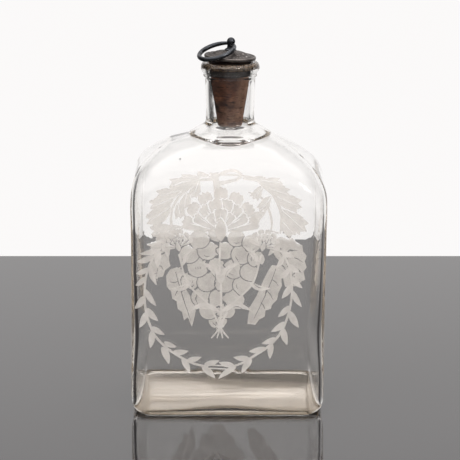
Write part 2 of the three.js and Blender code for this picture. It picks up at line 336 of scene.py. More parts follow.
def film_material(name, light, dark, scale, see_low, see_high, along=None, tint=(1.0, 1.0, 1.0)):
    """A film: clouded colour over a surface that partly shows through."""
    m, nt, out = new_material(name)
    c = object_coords(nt)
    cloud = noise_tex(nt, c, scale, 4.0, 0.55, 0.4)
    colour = ramp(nt, cloud, [(0.32, dark), (0.66, light)])
    diffuse = node(nt, "ShaderNodeBsdfDiffuse")
    trans = node(nt, "ShaderNodeBsdfTranslucent")
    nt.links.new(colour, diffuse.inputs["Color"])
    nt.links.new(colour, trans.inputs["Color"])
    body = node(nt, "ShaderNodeMixShader")
    body.inputs["Fac"].default_value = 0.35
    nt.links.new(diffuse.outputs["BSDF"], body.inputs[1])
    nt.links.new(trans.outputs["BSDF"], body.inputs[2])
    see = node(nt, "ShaderNodeBsdfTransparent")
    see.inputs["Color"].default_value = (*tint, 1.0)
    share = node(nt, "ShaderNodeMapRange", interpolation_type="SMOOTHSTEP")
    share.inputs["To Min"].default_value = see_low
    share.inputs["To Max"].default_value = see_high
    if along is None:
        share.inputs["From Min"].default_value = 0.35
        share.inputs["From Max"].default_value = 0.65
        nt.links.new(noise_tex(nt, c, scale * 1.7, 4.0, 0.6), share.inputs["Value"])
    else:
        axis, start, stop, wobble = along
        reach_along = node(nt, "ShaderNodeVectorMath", operation="DOT_PRODUCT")
        reach_along.inputs[1].default_value = axis
        nt.links.new(c, reach_along.inputs[0])
        drift = node(nt, "ShaderNodeMath", operation="MULTIPLY_ADD")
        drift.inputs[1].default_value = wobble
        nt.links.new(noise_tex(nt, c, scale * 0.6, 3.0, 0.5), drift.inputs[0])
        nt.links.new(reach_along.outputs["Value"], drift.inputs[2])
        share.inputs["From Min"].default_value = start + wobble / 2
        share.inputs["From Max"].default_value = stop + wobble / 2
        nt.links.new(drift.outputs["Value"], share.inputs["Value"])
    final = node(nt, "ShaderNodeMixShader")
    nt.links.new(share.outputs["Result"], final.inputs["Fac"])
    nt.links.new(body.outputs["Shader"], final.inputs[1])
    nt.links.new(see.outputs["BSDF"], final.inputs[2])
    nt.links.new(final.outputs["Shader"], out.inputs["Surface"])
    return m


# painted light: a cream film on the inner floor that paints the pale glow of light caught in the base
FLOOR_GLOW_FILM = film_material("floor_glow_film", (0.86, 0.74, 0.6), (0.7, 0.61, 0.51), 60.0, 0.73, 0.8, ((0.0, 1.0, 0.0), -0.006, 0.026, 0.016), (1.0, 0.984, 0.963))
# painted light: a warm film on the heel that paints the golden glow of the rim
FOOT_GLOW_FILM = film_material("heel_glow_film", (0.7, 0.58, 0.42), (0.4, 0.31, 0.21), 220.0, 0.34, 0.9, ((0.0, 0.0, 1.0), 0.0004, 0.0025, 0.0008))
# a dark speckled film on the inner floor, denser towards the back
DARK_FLOOR_FILM = film_material("dark_floor_specks", (0.2, 0.2, 0.21), (0.05, 0.05, 0.055), 520.0, 1.0, 0.84, ((0.155, 1.0, 0.0), 0.015, 0.023, 0.009))
MOUTH_FILM = film_material("brown_stain", (0.6, 0.47, 0.35), (0.27, 0.18, 0.12), 300.0, 0.22, 0.72)
# painted shade: a grey film on the left of the inner neck, standing for residue in the gap beside the cork and painting
# its shade
NECK_SHADE_FILM = film_material("neck_gap_shade_film", (0.4, 0.37, 0.36), (0.06, 0.055, 0.05), 420.0, 0.3, 1.0, ((1.0, 0.0, 0.0), -0.0108, -0.0088, 0.003))
CAP = metal_material("tarnished_pewter", (0.05, 0.039, 0.034), (0.15, 0.13, 0.12), 0.34, 0.6, 240.0, wear_and_light=(0.4, 0.37, 0.35))
RING = metal_material("blackened_pewter", (0.014, 0.015, 0.018), (0.05, 0.053, 0.062), 0.14, 0.34, 300.0, wear_and_light=(0.18, 0.19, 0.205))
BAND = metal_material("blackened_band", (0.007, 0.004, 0.003), (0.034, 0.017, 0.011), 0.62, 0.85, 260.0, metallic=0.1)
SEED = metal_material("dark_grain", (0.012, 0.01, 0.009), (0.04, 0.034, 0.03), 0.5, 0.8, 3000.0, metallic=0.0)
IRON = metal_material("dull_iron", (0.1, 0.09, 0.082), (0.3, 0.28, 0.26), 0.4, 0.65, 420.0)


# ---------------------------------------------------------------------- helpers
def catmull(keys, spacing):
    """Points along a smooth curve through the keys, no further apart than the spacing."""
    k = np.asarray(keys, float)
    out = [k[0]]
    for i in range(len(k) - 1):
        p1, p2 = k[i], k[i + 1]
        p0 = k[i - 1] if i else 2 * p1 - p2
        p3 = k[i + 2] if i + 2 < len(k) else 2 * p2 - p1
        d01, d12, d23 = (max(np.linalg.norm(b - a) ** 0.5, 1e-6) for a, b in ((p0, p1), (p1, p2), (p2, p3)))
        m1 = ((p1 - p0) / d01 - (p2 - p0) / (d01 + d12) + (p2 - p1) / d12) * d12
        m2 = ((p2 - p1) / d12 - (p3 - p1) / (d12 + d23) + (p3 - p2) / d23) * d12
        n = max(1, int(math.ceil(np.linalg.norm(p2 - p1) / spacing)))
        for s in range(1, n + 1):
            t = s / n
            h = (2 * t**3 - 3 * t**2 + 1, t**3 - 2 * t**2 + t, -2 * t**3 + 3 * t**2, t**3 - t**2)
            out.append(h[0] * p1 + h[1] * m1 + h[2] * p2 + h[3] * m2)
    return np.array(out)


def mesh_object(name, verts, faces, material, body, smooth=True, sharp=None):
    me = bpy.data.meshes.new(name)
    me.from_pydata([tuple(v) for v in verts], [], [tuple(f) for f in faces])
    me.validate()
    if smooth:
        me.polygons.foreach_set("use_smooth", [True] * len(me.polygons))
    if sharp is not None:
        me.set_sharp_from_angle(angle=math.radians(sharp))
    me.materials.append(material)
    me.update()
    o = bpy.data.objects.new(name, me)
    scene.collection.objects.link(o)
    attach(o, body)
    return o


def lathe(rows, n, warp=None):
    """Closed solid of revolution about Z from (z, r) rows; rows on the axis become single points."""
    verts, faces, rings = [], [], []
    for k, (z, r) in enumerate(rows):
        if r < 1e-6:
            verts.append((0.0, 0.0, z))
            rings.append([len(verts) - 1] * n)
            continue
        ring = []
        for j in range(n):
            t = 2 * math.pi * j / n
            p = (r * math.cos(t), r * math.sin(t), z)
            if warp:
                p = warp(p, k, j)
            verts.append(p)
            ring.append(len(verts) - 1)
        rings.append(ring)
    for a, b in zip(rings[:-1], rings[1:]):
        for j in range(n):
            q = [a[j], a[(j + 1) % n], b[(j + 1) % n], b[j]]
            u = [v for i, v in enumerate(q) if v not in q[:i]]
            if len(u) > 2:
                faces.append(u)
    return verts, faces


def loop_rings(verts, rings, closed, faces):
    pairs = list(zip(rings[:-1], rings[1:])) + ([(rings[-1], rings[0])] if closed else [])
    n = len(rings[0])
    for a, b in pairs:
        for j in range(n):
            faces.append((a[j], a[(j + 1) % n], b[(j + 1) % n], b[j]))


def outward(o):
    bm = bmesh.new()
    bm.from_mesh(o.data)
    bmesh.ops.recalc_face_normals(bm, faces=bm.faces)
    bm.to_mesh(o.data)
    bm.free()


# --------------------------------------------------------------- the glass bottle
N_SIDE, N_FACE, N_CORNER = 18, 28, 24
STARTS = np.cumsum([0, N_SIDE // 2, N_CORNER, N_FACE, N_CORNER, N_SIDE, N_CORNER, N_FACE, N_CORNER])
ROUND = 16  # columns of each corner that belong to the engraved face
J_BACK = (int(STARTS[2]) - ROUND, int(STARTS[3]) + ROUND)
J_FRONT = (int(STARTS[6]) - ROUND, int(STARTS[7]) + ROUND)
N = int(STARTS[8]) + N_SIDE // 2
EVEN = 2 * math.pi * np.arange(N) / N


def rounded(a, b, r):
    """The outline of a rounded rectangle, anticlockwise from the middle of its right side."""
    p = []
    for i in range(N_SIDE // 2):
        p.append((a, (b - r) * i / (N_SIDE // 2)))
    corners = [(1, 1), (-1, 1), (-1, -1), (1, -1)]
    sides = [N_FACE, N_SIDE, N_FACE, N_SIDE // 2]
    for k, (sx, sy) in enumerate(corners):
        for i in range(N_CORNER):
            t = math.pi / 2 * (k + i / N_CORNER)
            p.append((sx * (a - r) + r * math.cos(t), sy * (b - r) + r * math.sin(t)))
        for i in range(sides[k]):
            f = i / N_FACE if k in (0, 2) else i / N_SIDE
            if k == 0:
                p.append(((a - r) * (1 - 2 * f), b))
            elif k == 1:
                p.append((-a, (b - r) * (1 - 2 * f)))
            elif k == 2:
                p.append((-(a - r) * (1 - 2 * f), -b))
            else:
                p.append((a, -(b - r) * (1 - 2 * f)))
    return np.array(p)


def reach(a, b, r, t):
    """Distance from the middle of a rounded rectangle to its outline, in the direction t."""
    c, s = abs(math.cos(t)), abs(math.sin(t))
    if c > 1e-9 and s * a / c <= b - r:
        return a / c
    if s > 1e-9 and c * b / s <= a - r:
        return b / s
    q = (a - r) * c + (b - r) * s
    return q + math.sqrt(max(q * q - (a - r) ** 2 - (b - r) ** 2 + r * r, 0.0))


def unwrap(p):
    t = np.arctan2(p[:, 1], p[:, 0])
    t[t < -1e-9] += 2 * math.pi
    return t


def ring_at(z, a, b, r, even):
    """One ring: evenly spaced on a round neck, by side and corner on the square body, or between the two."""
    if even <= 0.0:
        p = rounded(a, b, r)
        return np.column_stack([p, np.full(N, z)])
    t = EVEN if even >= 1.0 else (1 - even) * unwrap(rounded(a, b, min(r, 0.97 * b))) + even * EVEN
    return np.array([(reach(a, b, r, v) * math.cos(v), reach(a, b, r, v) * math.sin(v), z) for v in t])


def smoothstep(x, lo, hi):
    t = min(max((x - lo) / (hi - lo), 0.0), 1.0)
    return t * t * (3 - 2 * t)


UNDER_Z = 0.25
FLOOR_Z = 3.45
FOOT = [
    (UNDER_Z, 20.0, 13.5, 8.0),
    (UNDER_Z, 37.0, 26.0, 7.4),
    (UNDER_Z, 43.6, 32.6, 6.6),
    (0.24, 44.1, 33.2, 6.5),
    (0.14, 44.5, 33.9, 6.4),
    (0.03, 44.8, 34.5, 6.4),
    (0.0, 45.0, 35.2, 6.4),
    (0.0, 45.4, 37.4, 6.3),
    (0.06, 45.8, 38.5, 6.3),
    (0.3, 46.5, 39.15, 6.3),
    (0.8, 47.4, 39.5, 6.5),
    (1.7, 48.7, 39.72, 6.9),
    (3.2, 50.0, 39.8, 7.4),
    (5.5, 50.8, 39.82, 7.9),
    (8.5, 51.15, 39.82, 8.1),
    (14.0, 51.2, 39.8, 8.2),
]
WALL = [(14.0, 51.2, 39.8, 8.2), (57.0, 51.4, 39.8, 8.4), (100.0, 51.8, 39.8, 8.6)]
TURN = [
    (100.0, 51.8, 39.8, 8.6),
    (109.0, 52.0, 39.7, 9.2),
    (114.5, 51.95, 39.4, 10.2),
    (119.0, 51.5, 38.7, 11.6),
    (123.8, 50.1, 37.5, 13.2),
]
DOME = [
    (128.2, 47.8, 35.6, 14.4),
    (132.0, 44.9, 33.4, 15.4),
    (135.8, 40.6, 30.4, 16.2),
    (138.5, 37.0, 27.6, 16.8),
    (141.2, 32.7, 24.3, 17.2),
    (143.6, 27.0, 20.4, 16.9),
    (145.6, 20.6, 16.4, 15.4),
    (147.2, 14.0, 11.6, 11.4),
]
SHOULDER = catmull(TURN + DOME, 0.4)
SPLIT = int(np.argmin(np.abs(SHOULDER[:, 0] - 127.4)))  # top of the engraved faces
DOME_FINE = SHOULDER[SPLIT:]
COLLAR_FOOT_R = 20.7
COLLAR_EDGE = (22.0, 145.95)
NECK_UP = [
    (146.4, 21.6),
    (147.3, 20.2),
    (148.6, 18.2),
    (149.6, 16.5),
    (150.3, 15.25),
    (150.85, 14.3),
    (151.5, 13.6),
    (152.5, 13.15),
    (154.0, 12.95),
    (157.0, 12.85),
    (162.0, 12.95),
    (168.0, 13.15),
    (173.0, 13.35),
    (175.2, 13.45),
    (175.9, 13.7),
    (176.5, 14.15),
    (177.2, 14.4),
    (177.9, 14.3),
    (178.35, 14.3),
    (178.9, 14.8),
    (179.7, 15.35),
    (180.7, 15.65),
    (181.7, 15.65),
    (182.7, 15.45),
    (183.7, 14.85),
    (184.2, 14.0),
    (184.25, 13.0),
    (183.95, 12.2),
    (183.1, 11.85),
    (181.0, 11.65),
    (178.6, 11.58),
    (176.6, 11.4),
    (174.2, 11.05),
    (171.0, 10.8),
    (165.0, 10.6),
    (157.0, 10.35),
    (151.0, 10.15),
]
INNER_WALL = [(100.0, 49.7, 37.55, 6.4), (57.0, 48.2, 36.15, 5.9), (14.0, 46.7, 34.7, 5.4)]


def under_shoulder(levels):
    """Sections inside the shoulder: the outside moved in by an even wall, at sides, faces and corners."""
    z, a, b, r = SHOULDER.T
    half = math.sqrt(0.5)

    def corner(a, b, r):
        return half * (a + b) - (math.sqrt(2.0) - 1.0) * r

    shifted = []
    top, inner = SHOULDER[0][1:], INNER_WALL[0][1:]
    walls = (top[0] - inner[0], top[1] - inner[1], corner(*top) - corner(*inner))
    for c, wall in zip((a, b, corner(a, b, r)), walls):
        e = np.arctan(-np.gradient(c, z))
        d = wall * (1.0 - 0.12 * np.exp(-(((z - 131.0) / 5.0) ** 2)))
        shifted.append((z - d * np.sin(e), c - d * np.cos(e)))
    rows = []
    for level in levels:
        a1, b1, c1 = (float(np.interp(level, zz, cc)) for zz, cc in shifted)
        rows.append((level, a1, b1, (half * (a1 + b1) - c1) / (math.sqrt(2.0) - 1.0)))
    return rows


INNER_DOME = [
    (151.0, 10.15, 10.15, 10.15),
    (149.4, 10.4, 10.3, 10.25),
    (148.2, 11.1, 10.65, 10.5),
    (147.2, 12.5, 11.3, 11.1),
    (146.4, 14.0, 12.6, 12.2),
    (145.8, 15.2, 13.9, 13.3),
    (145.0, 16.8, 14.9, 14.2),
    (144.2, 18.5, 15.3, 14.5),
] + under_shoulder((143.4, 142.0, 140.0, 137.6, 135.0, 132.2, 129.2, 126.0, 122.4, 118.4, 114.0, 109.0, 104.5, 100.0))
INNER_HEEL = [
    (14.0, 46.7, 34.7, 5.4),
    (9.0, 46.6, 34.65, 5.4),
    (5.4, 46.5, 34.6, 5.3),
    (4.4, 46.3, 34.5, 5.2),
    (3.9, 45.9, 34.3, 5.1),
    (3.62, 45.2, 33.9, 5.0),
    (3.5, 44.0, 33.1, 5.0),
    (3.46, 41.6, 31.0, 5.0),
    (FLOOR_Z, 31.0, 21.5, 4.8),
    (FLOOR_Z, 14.0, 9.5, 4.8),
]
INNER_FRONT = 34.65


def waves(u, v, seed):
    s = 0.0
    for k in range(4):
        a = seed * 1.7 + k * 2.3
        s += math.sin(u * (0.05 + 0.035 * k) * math.cos(a) + v * (0.045 + 0.03 * k) * math.sin(a) + a * 3.1) / (1 + 0.6 * k)
    return s / 2.0


def lean(x, z):
    """The bottle stands a little off its neck, and its left shoulder is the fuller one."""
    body = (-1.35 + 0.7 * smoothstep(z, 0.0, 110.0)) * (1.0 - smoothstep(z, 118.0, 146.0))
    full = smoothstep(z, 116.0, 137.0) * (1.0 - smoothstep(z, 141.0, 146.2)) * smoothstep(abs(x), 19.0, 34.0)
    return body - 2.2 * full + 0.1 * smoothstep(z, 150.0, 184.0)


def settle(p, inside):
    """The small irregularities of hand-blown glass."""
    x, y, z = p
    wall = smoothstep(z, 2.0, 16.0) * (1.0 - smoothstep(z, 118.0, 140.0))
    if inside:
        wall = smoothstep(z, 5.0, 18.0) * (1.0 - smoothstep(z, 120.0, 142.0))
        yy = y * (1 + 0.0026 * wall * waves(0.8 * x, 0.6 * z, 1.0))
        xx = x * (1 + 0.003 * wall * waves(y, z, 2.0))
        # the side walls thin out towards the foot
        xx += math.copysign(1.4 * (1.0 - smoothstep(z, 12.0, 48.0)) * smoothstep(abs(x), 30.0, 45.0), x)
        low = 1.0 - smoothstep(z, 5.0, 20.0)
        # the floor inside rises from the front and falls a little at the back; a broad hollow joins it to the front wall
        turn = 28.6 - 10.3 * smoothstep(x, -42.0, 42.0) + 1.5 * waves(1.4 * x, 0.0, 2.0)
        rise = 2.45 * (1.0 - (max(26.0 - y, 0.0) / 59.0) ** 1.5) - 2.65 - 0.42 * (max(y - turn, 0.0) / 11.0) ** 1.4
        ripple = 0.04 * waves(x, y, 3.0) + 0.012 * waves(2.6 * x, 0.7 * y, 6.0)
        zz = z + low * (ripple + rise)
        hollow = 1.5 + 3.0 * math.exp(-((x / 24.0) ** 2))
        d = INNER_FRONT + y
        if 0.0 <= d < hollow:
            zz = max(zz, FLOOR_Z + ripple + rise + hollow - math.sqrt(hollow**2 - (hollow - d) ** 2))
    else:
        yy = y * (1 + 0.0022 * wall * waves(x, z, 4.0))
        xx = x * (1 + 0.0022 * wall * waves(y, z, 5.0))
        zz = z
    return (xx + lean(x, z), yy, zz)


def build_glass(patches):
    verts, rings, flags = [], [], []

    def add_ring(points, inside):
        ids = []
        for p in points:
            verts.append(settle(p, inside))
            ids.append(len(verts) - 1)
        rings.append(ids)
        flags.append(inside)

    plan = []  # undeformed rings, for the face patches
    for row in catmull(FOOT, 0.9):
        plan.append((ring_at(max(row[0], 0.0), *row[1:], 0.0), False))
    k_lo = len(plan) - 1
    face_rows = [FOOT[-1]]
    for row in list(catmull(WALL, 3.0)[1:]) + list(SHOULDER[4 : SPLIT : 4]) + [SHOULDER[SPLIT]]:
        plan.append((ring_at(*row, 0.0), False))
        face_rows.append(tuple(row))
    k_hi = len(plan) - 1
    # shoulder, each column up to where it meets the foot of the collar
    start = unwrap(rounded(*DOME_FINE[0][1:]))

    def section(z):
        return [np.interp(z, DOME_FINE[:, 0], DOME_FINE[:, c]) for c in (1, 2, 3)]

    foot_z = []
    foot_r = COLLAR_FOOT_R + 1.5 * np.sin(EVEN) ** 2
    for t, r in zip(EVEN, foot_r):
        lo, hi = 130.0, 147.3
        for _ in range(40):
            mid = (lo + hi) / 2
            if reach(*section(mid), t) > r:
                lo = mid
            else:
                hi = mid
        foot_z.append(lo)
    foot_z = np.array(foot_z)
    steps = 40
    for s in range(1, steps + 1):
        f = s / steps
        f = f * (1.6 - 0.6 * f)  # closer together near the collar
        e = smoothstep(f, 0.0, 1.0)
        pts = []
        for j in range(N):
            t = (1 - e) * start[j] + e * EVEN[j]
            z = DOME_FINE[0][0] + (foot_z[j] - DOME_FINE[0][0]) * f
            d = reach(*section(z), t)
            pts.append((d * math.cos(t), d * math.sin(t), z))
        plan.append((np.array(pts), False))
    # side of the collar
    for f, g in ((0.08, 0.08), (0.18, 0.27), (0.3, 0.46), (0.45, 0.62), (0.62, 0.77), (0.78, 0.88), (0.9, 0.98), (1.0, 1.0)):
        z = foot_z + (COLLAR_EDGE[1] - foot_z) * f
        r = foot_r + (COLLAR_EDGE[0] - foot_r) * g
        plan.append((np.column_stack([r * np.cos(EVEN), r * np.sin(EVEN), z]), False))
    for z, r in catmull([(COLLAR_EDGE[1], COLLAR_EDGE[0])] + NECK_UP, 0.7)[1:]:
        plan.append((np.column_stack([r * np.cos(EVEN), r * np.sin(EVEN), np.full(N, z)]), False))
    inner = catmull(INNER_DOME, 1.5)[1:]
    for row in inner:
        e = smoothstep(row[0], 118.0, 143.0)
        plan.append((ring_at(*row, e), True))
    for row in catmull(INNER_WALL, 3.0)[1:]:
        plan.append((ring_at(*row, 0.0), True))
    for row in catmull(INNER_HEEL, 0.5)[1:]:
        plan.append((ring_at(*row, 0.0), True))

    for points, inside in plan:
        add_ring(points, inside)
    faces = []
    holes = {j for j in range(*J_FRONT)} | {j for j in range(*J_BACK)}
    for k in range(len(rings) - 1):
        a, b = rings[k], rings[k + 1]
        for j in range(N):
            if k_lo <= k < k_hi and j in holes:
                continue
            faces.append((a[j], a[(j + 1) % N], b[(j + 1) % N], b[j]))
    # middle of the underside and of the floor
    verts.append(settle((0.0, 0.0, UNDER_Z), False))
    pole = len(verts) - 1
    for j in range(N):
        faces.append((pole, rings[0][(j + 1) % N], rings[0][j]))
    verts.append(settle((0.0, 0.0, FLOOR_Z), True))
    pole = len(verts) - 1
    for j in range(N):
        faces.append((rings[-1][j], rings[-1][(j + 1) % N], pole))

    # the two engraved faces
    inlays = []
    rows = np.array(face_rows)

    def on_face(x, z):
        """Depth and outward direction of the face, round its corners too."""
        a, b, r = (float(np.interp(z, rows[:, 0], rows[:, c])) for c in (1, 2, 3))
        over = min(max(abs(x) - (a - r), 0.0), r) / r
        fall = math.sqrt(1.0 - over * over)
        return b - r + r * fall, math.copysign(over, x), fall

    for side, cols, paint in patches:
        edge_lo = [plan[k][0][cols[0]] for k in range(k_lo, k_hi + 1)]
        edge_hi = [plan[k][0][cols[1]] for k in range(k_lo, k_hi + 1)]
        bottom = [plan[k_lo][0][j] for j in range(cols[0], cols[1] + 1)]
        top = [plan[k_hi][0][j] for j in range(cols[0], cols[1] + 1)]
        loop = bottom + edge_hi[1:-1] + top[::-1] + edge_lo[1:-1][::-1]
        loop = np.array([(p[0], p[2]) for p in loop])
        flat, tris, cut, sunk = face_patch(loop, paint)
        base = len(verts)
        normal = -1.0 if side == "front" else 1.0
        three = []
        for (x, z), d in zip(flat, sunk):
            y, nx, ny = on_face(x, z)
            p = settle((x, normal * y, z), False)
            three.append((p[0] - nx * d, p[1] - normal * ny * d, p[2], nx, normal * ny))
        verts.extend(v[:3] for v in three)
        for t in tris:
            faces.append(tuple(base + i for i in t))
        inlays.append((three, [t for t, c in zip(tris, cut) if c]))

    bm = bmesh.new()
    for v in verts:
        bm.verts.new(v)
    bm.verts.ensure_lookup_table()
    for f in faces:
        try:
            bm.faces.new([bm.verts[i] for i in f])
        except ValueError:
            pass
    bmesh.ops.remove_doubles(bm, verts=bm.verts, dist=0.002)
    loose = [v for v in bm.verts if not v.link_faces]
    bmesh.ops.delete(bm, geom=loose, context="VERTS")
    bmesh.ops.recalc_face_normals(bm, faces=bm.faces)
    open_edges = sum(1 for e in bm.edges if len(e.link_faces) != 2)
    print("glass: verts", len(bm.verts), "faces", len(bm.faces), "open edges", open_edges)
    bmesh.ops.scale(bm, vec=(MM, MM, MM), verts=bm.verts)
    me = bpy.data.meshes.new("glass_bottle")
    bm.to_mesh(me)
    bm.free()
    me.polygons.foreach_set("use_smooth", [True] * len(me.polygons))
    me.materials.append(GLASS)
    o = bpy.data.objects.new("glass_bottle", me)
    scene.collection.objects.link(o)
    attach(o, "bottle")
    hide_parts("bottle_body", "neck_collar", "lip_ring")
    return o, inlays


def inside_polygon(points, polygon):
    x, y = points[:, 0], points[:, 1]
    hit = np.zeros(len(points), bool)
    px, py = polygon[:, 0], polygon[:, 1]
    qx, qy = np.roll(px, -1), np.roll(py, -1)
    for x1, y1, x2, y2 in zip(px, py, qx, qy):
        if y1 == y2:
            continue
        c = (y1 > y) != (y2 > y)
        hit ^= c & (x < (x2 - x1) * (y - y1) / (y2 - y1) + x1)
    return hit


def painted(points, paint):
    """Whether each point is cut, by the last painted shape that holds it."""
    state = np.zeros(len(points), bool)
    for polygon, value in paint:
        lo, hi = polygon.min(0), polygon.max(0)
        near = np.where(((points >= lo) & (points <= hi)).all(1))[0]
        if len(near):
            state[near[inside_polygon(points[near], polygon)]] = value
    return state


def face_patch(loop, paint):
    """Triangles of one engraved face: its points, which triangles are cut, and how deep each point is sunk."""
    pts = [tuple(p) for p in loop]
    edges = [(i, (i + 1) % len(loop)) for i in range(len(loop))]
    dense = []
    for polygon, _ in paint:
        b = len(pts)
        pts.extend(tuple(p) for p in polygon)
        n = len(polygon)
        edges.extend((b + i, b + (i + 1) % n) for i in range(n))
        q = np.roll(polygon, -1, axis=0)
        for p0, p1 in zip(polygon, q):
            m = max(1, int(np.linalg.norm(p1 - p0) / 0.2))
            dense.extend(p0 + (p1 - p0) * i / m for i in range(m))
    for p0, p1 in zip(loop, np.roll(loop, -1, axis=0)):
        m = max(1, int(np.linalg.norm(p1 - p0) / 0.2))
        dense.extend(p0 + (p1 - p0) * i / m for i in range(m))
    tree = kdtree.KDTree(len(dense))
    for i, p in enumerate(dense):
        tree.insert((p[0], p[1], 0.0), i)
    tree.balance()
    lo, hi = loop.min(0), loop.max(0)
    grid = []
    for pitch, want, corner in ((0.75, True, False), (2.4, False, False), (0.9, False, True)):
        xs = np.arange(lo[0], hi[0], pitch)
        zs = np.arange(lo[1], hi[1], pitch * 0.866)
        cand = np.array([(x + (pitch / 2 if k % 2 else 0.0), z) for k, z in enumerate(zs) for x in xs])
        cand = cand[inside_polygon(cand, loop)]
        state = painted(cand, paint)
        for p in cand[state == want]:
            if not want and (abs(p[0]) > 36.0 or p[1] > 103.0) != corner:
                continue
            if tree.find((p[0], p[1], 0.0))[2] > (0.24 if want else 0.3 if corner else 0.8):
                grid.append((p[0], p[1]))
    pts.extend(grid)
    v2, _, f2, _, _, _ = geometry.delaunay_2d_cdt([Vector(p) for p in pts], edges, [], 0, 0.0005, False)
    flat = np.array([(v[0], v[1]) for v in v2])
    tris = []
    for f in f2:
        for k in range(1, len(f) - 1):
            tris.append((f[0], f[k], f[k + 1]))
    mid = np.array([flat[list(t)].mean(0) for t in tris])
    keep = inside_polygon(mid, loop)
    tris = [t for t, k in zip(tris, keep) if k]
    mid = mid[keep]
    cut = painted(mid, paint)
    n_all = np.zeros(len(flat), int)
    n_cut = np.zeros(len(flat), int)
    for t, c in zip(tris, cut):
        for i in t:
            n_all[i] += 1
            n_cut[i] += c
    deep = (n_cut == n_all) & (n_all > 0)
    rim = kdtree.KDTree(int(((n_cut > 0) & ~deep).sum()))
    for i in np.where((n_cut > 0) & ~deep)[0]:
        rim.insert((flat[i][0], flat[i][1], 0.0), int(i))
    rim.balance()
    sunk = np.zeros(len(flat))
    for i in np.where(deep)[0]:
        d = rim.find((flat[i][0], flat[i][1], 0.0))[2]
        sunk[i] = 0.05 * (1.0 - math.exp(-d / 0.4))
    print("patch: points", len(flat), "triangles", len(tris), "cut", int(cut.sum()))
    return flat, tris, cut, sunk


def inlay(name, three, tris, material, proud=0.045, under=0.012):
    """The ground surface of the engraving: a thin closed skin in the cuts."""
    used = sorted({i for t in tris for i in t})
    index = {v: k for k, v in enumerate(used)}
    n = len(used)
    top = [(three[i][0] + three[i][3] * proud, three[i][1] + three[i][4] * proud, three[i][2]) for i in used]
    low = [(three[i][0] + three[i][3] * under, three[i][1] + three[i][4] * under, three[i][2]) for i in used]
    verts = [tuple(c * MM for c in v) for v in top + low]
    faces = []
    count = {}
    for t in tris:
        a, b, c = (index[i] for i in t)
        faces.append((a, b, c))
        faces.append((c + n, b + n, a + n))
        for u, v in ((a, b), (b, c), (c, a)):
            count[(u, v)] = count.get((u, v), 0) + 1
    for u, v in list(count):
        if (v, u) not in count:
            faces.append((v, u, u + n, v + n))
    o = mesh_object(name, verts, faces, material, "bottle", smooth=False)
    outward(o)
    return o


# ------------------------------------------------------------------- the engraving
FRONT_Y, BACK_Y = -39.45, 39.45
BACK_SHIFT = np.array([0.0, -1.6])


def F(px, py):
    p = on_plane(px, py, FRONT_Y)
    return p


def B(px, py):
    p = on_plane(px, py, BACK_Y) + BACK_SHIFT
    return p + np.array([0.0, 0.12 * max(p[1] - 100.0, 0.0)])


def spline(points, n):
    p = np.asarray(points, float)
    seg = np.linalg.norm(np.diff(p, axis=0), axis=1).sum() / n
    c = catmull(p, max(seg, 0.05))
    d = np.concatenate([[0], np.cumsum(np.linalg.norm(np.diff(c, axis=0), axis=1))])
    t = np.linspace(0, d[-1], n)
    return np.column_stack([np.interp(t, d, c[:, 0]), np.interp(t, d, c[:, 1])])


def stroke(points, widths, n=28):
    """A drawn line: its width runs through the given values along it."""
    c = spline(points, n)
    g = np.gradient(c, axis=0)
    g /= np.linalg.norm(g, axis=1)[:, None] + 1e-9
    nrm = np.column_stack([-g[:, 1], g[:, 0]])
    w = np.interp(np.linspace(0, 1, n), np.linspace(0, 1, len(widths)), widths) / 2
    return np.vstack([c + nrm * w[:, None], (c - nrm * w[:, None])[::-1]])


def leaf(base, tip, width, bow=0.12, n=12, belly=0.8):
    base, tip = np.asarray(base, float), np.asarray(tip, float)
    axis = tip - base
    length = np.linalg.norm(axis)
    d = axis / length
    nrm = np.array([-d[1], d[0]])
    t = np.linspace(0, 1, n)
    mid = base + np.outer(t * length, d) + np.outer(4 * bow * length * t * (1 - t), nrm)
    w = 0.5 * width * np.sin(np.pi * t**belly) ** 0.85
    left = mid + np.outer(w, nrm)
    right = mid - np.outer(w, nrm)
    return np.vstack([left, right[1:-1][::-1]])


def disc(centre, rx, rz=None, n=28, turn=0.0):
    rz = rx if rz is None else rz
    t = np.linspace(0, 2 * math.pi, n, endpoint=False)
    x, z = rx * np.cos(t), rz * np.sin(t)
    c, s = math.cos(turn), math.sin(turn)
    return np.column_stack([centre[0] + c * x - s * z, centre[1] + s * x + c * z])


def high(X, Y):
    return 125.0 + X / 7.467, 150.0 + Y / 7.467


def low(X, Y):
    return 125.0 + X / 7.467, 270.0 + Y / 7.467


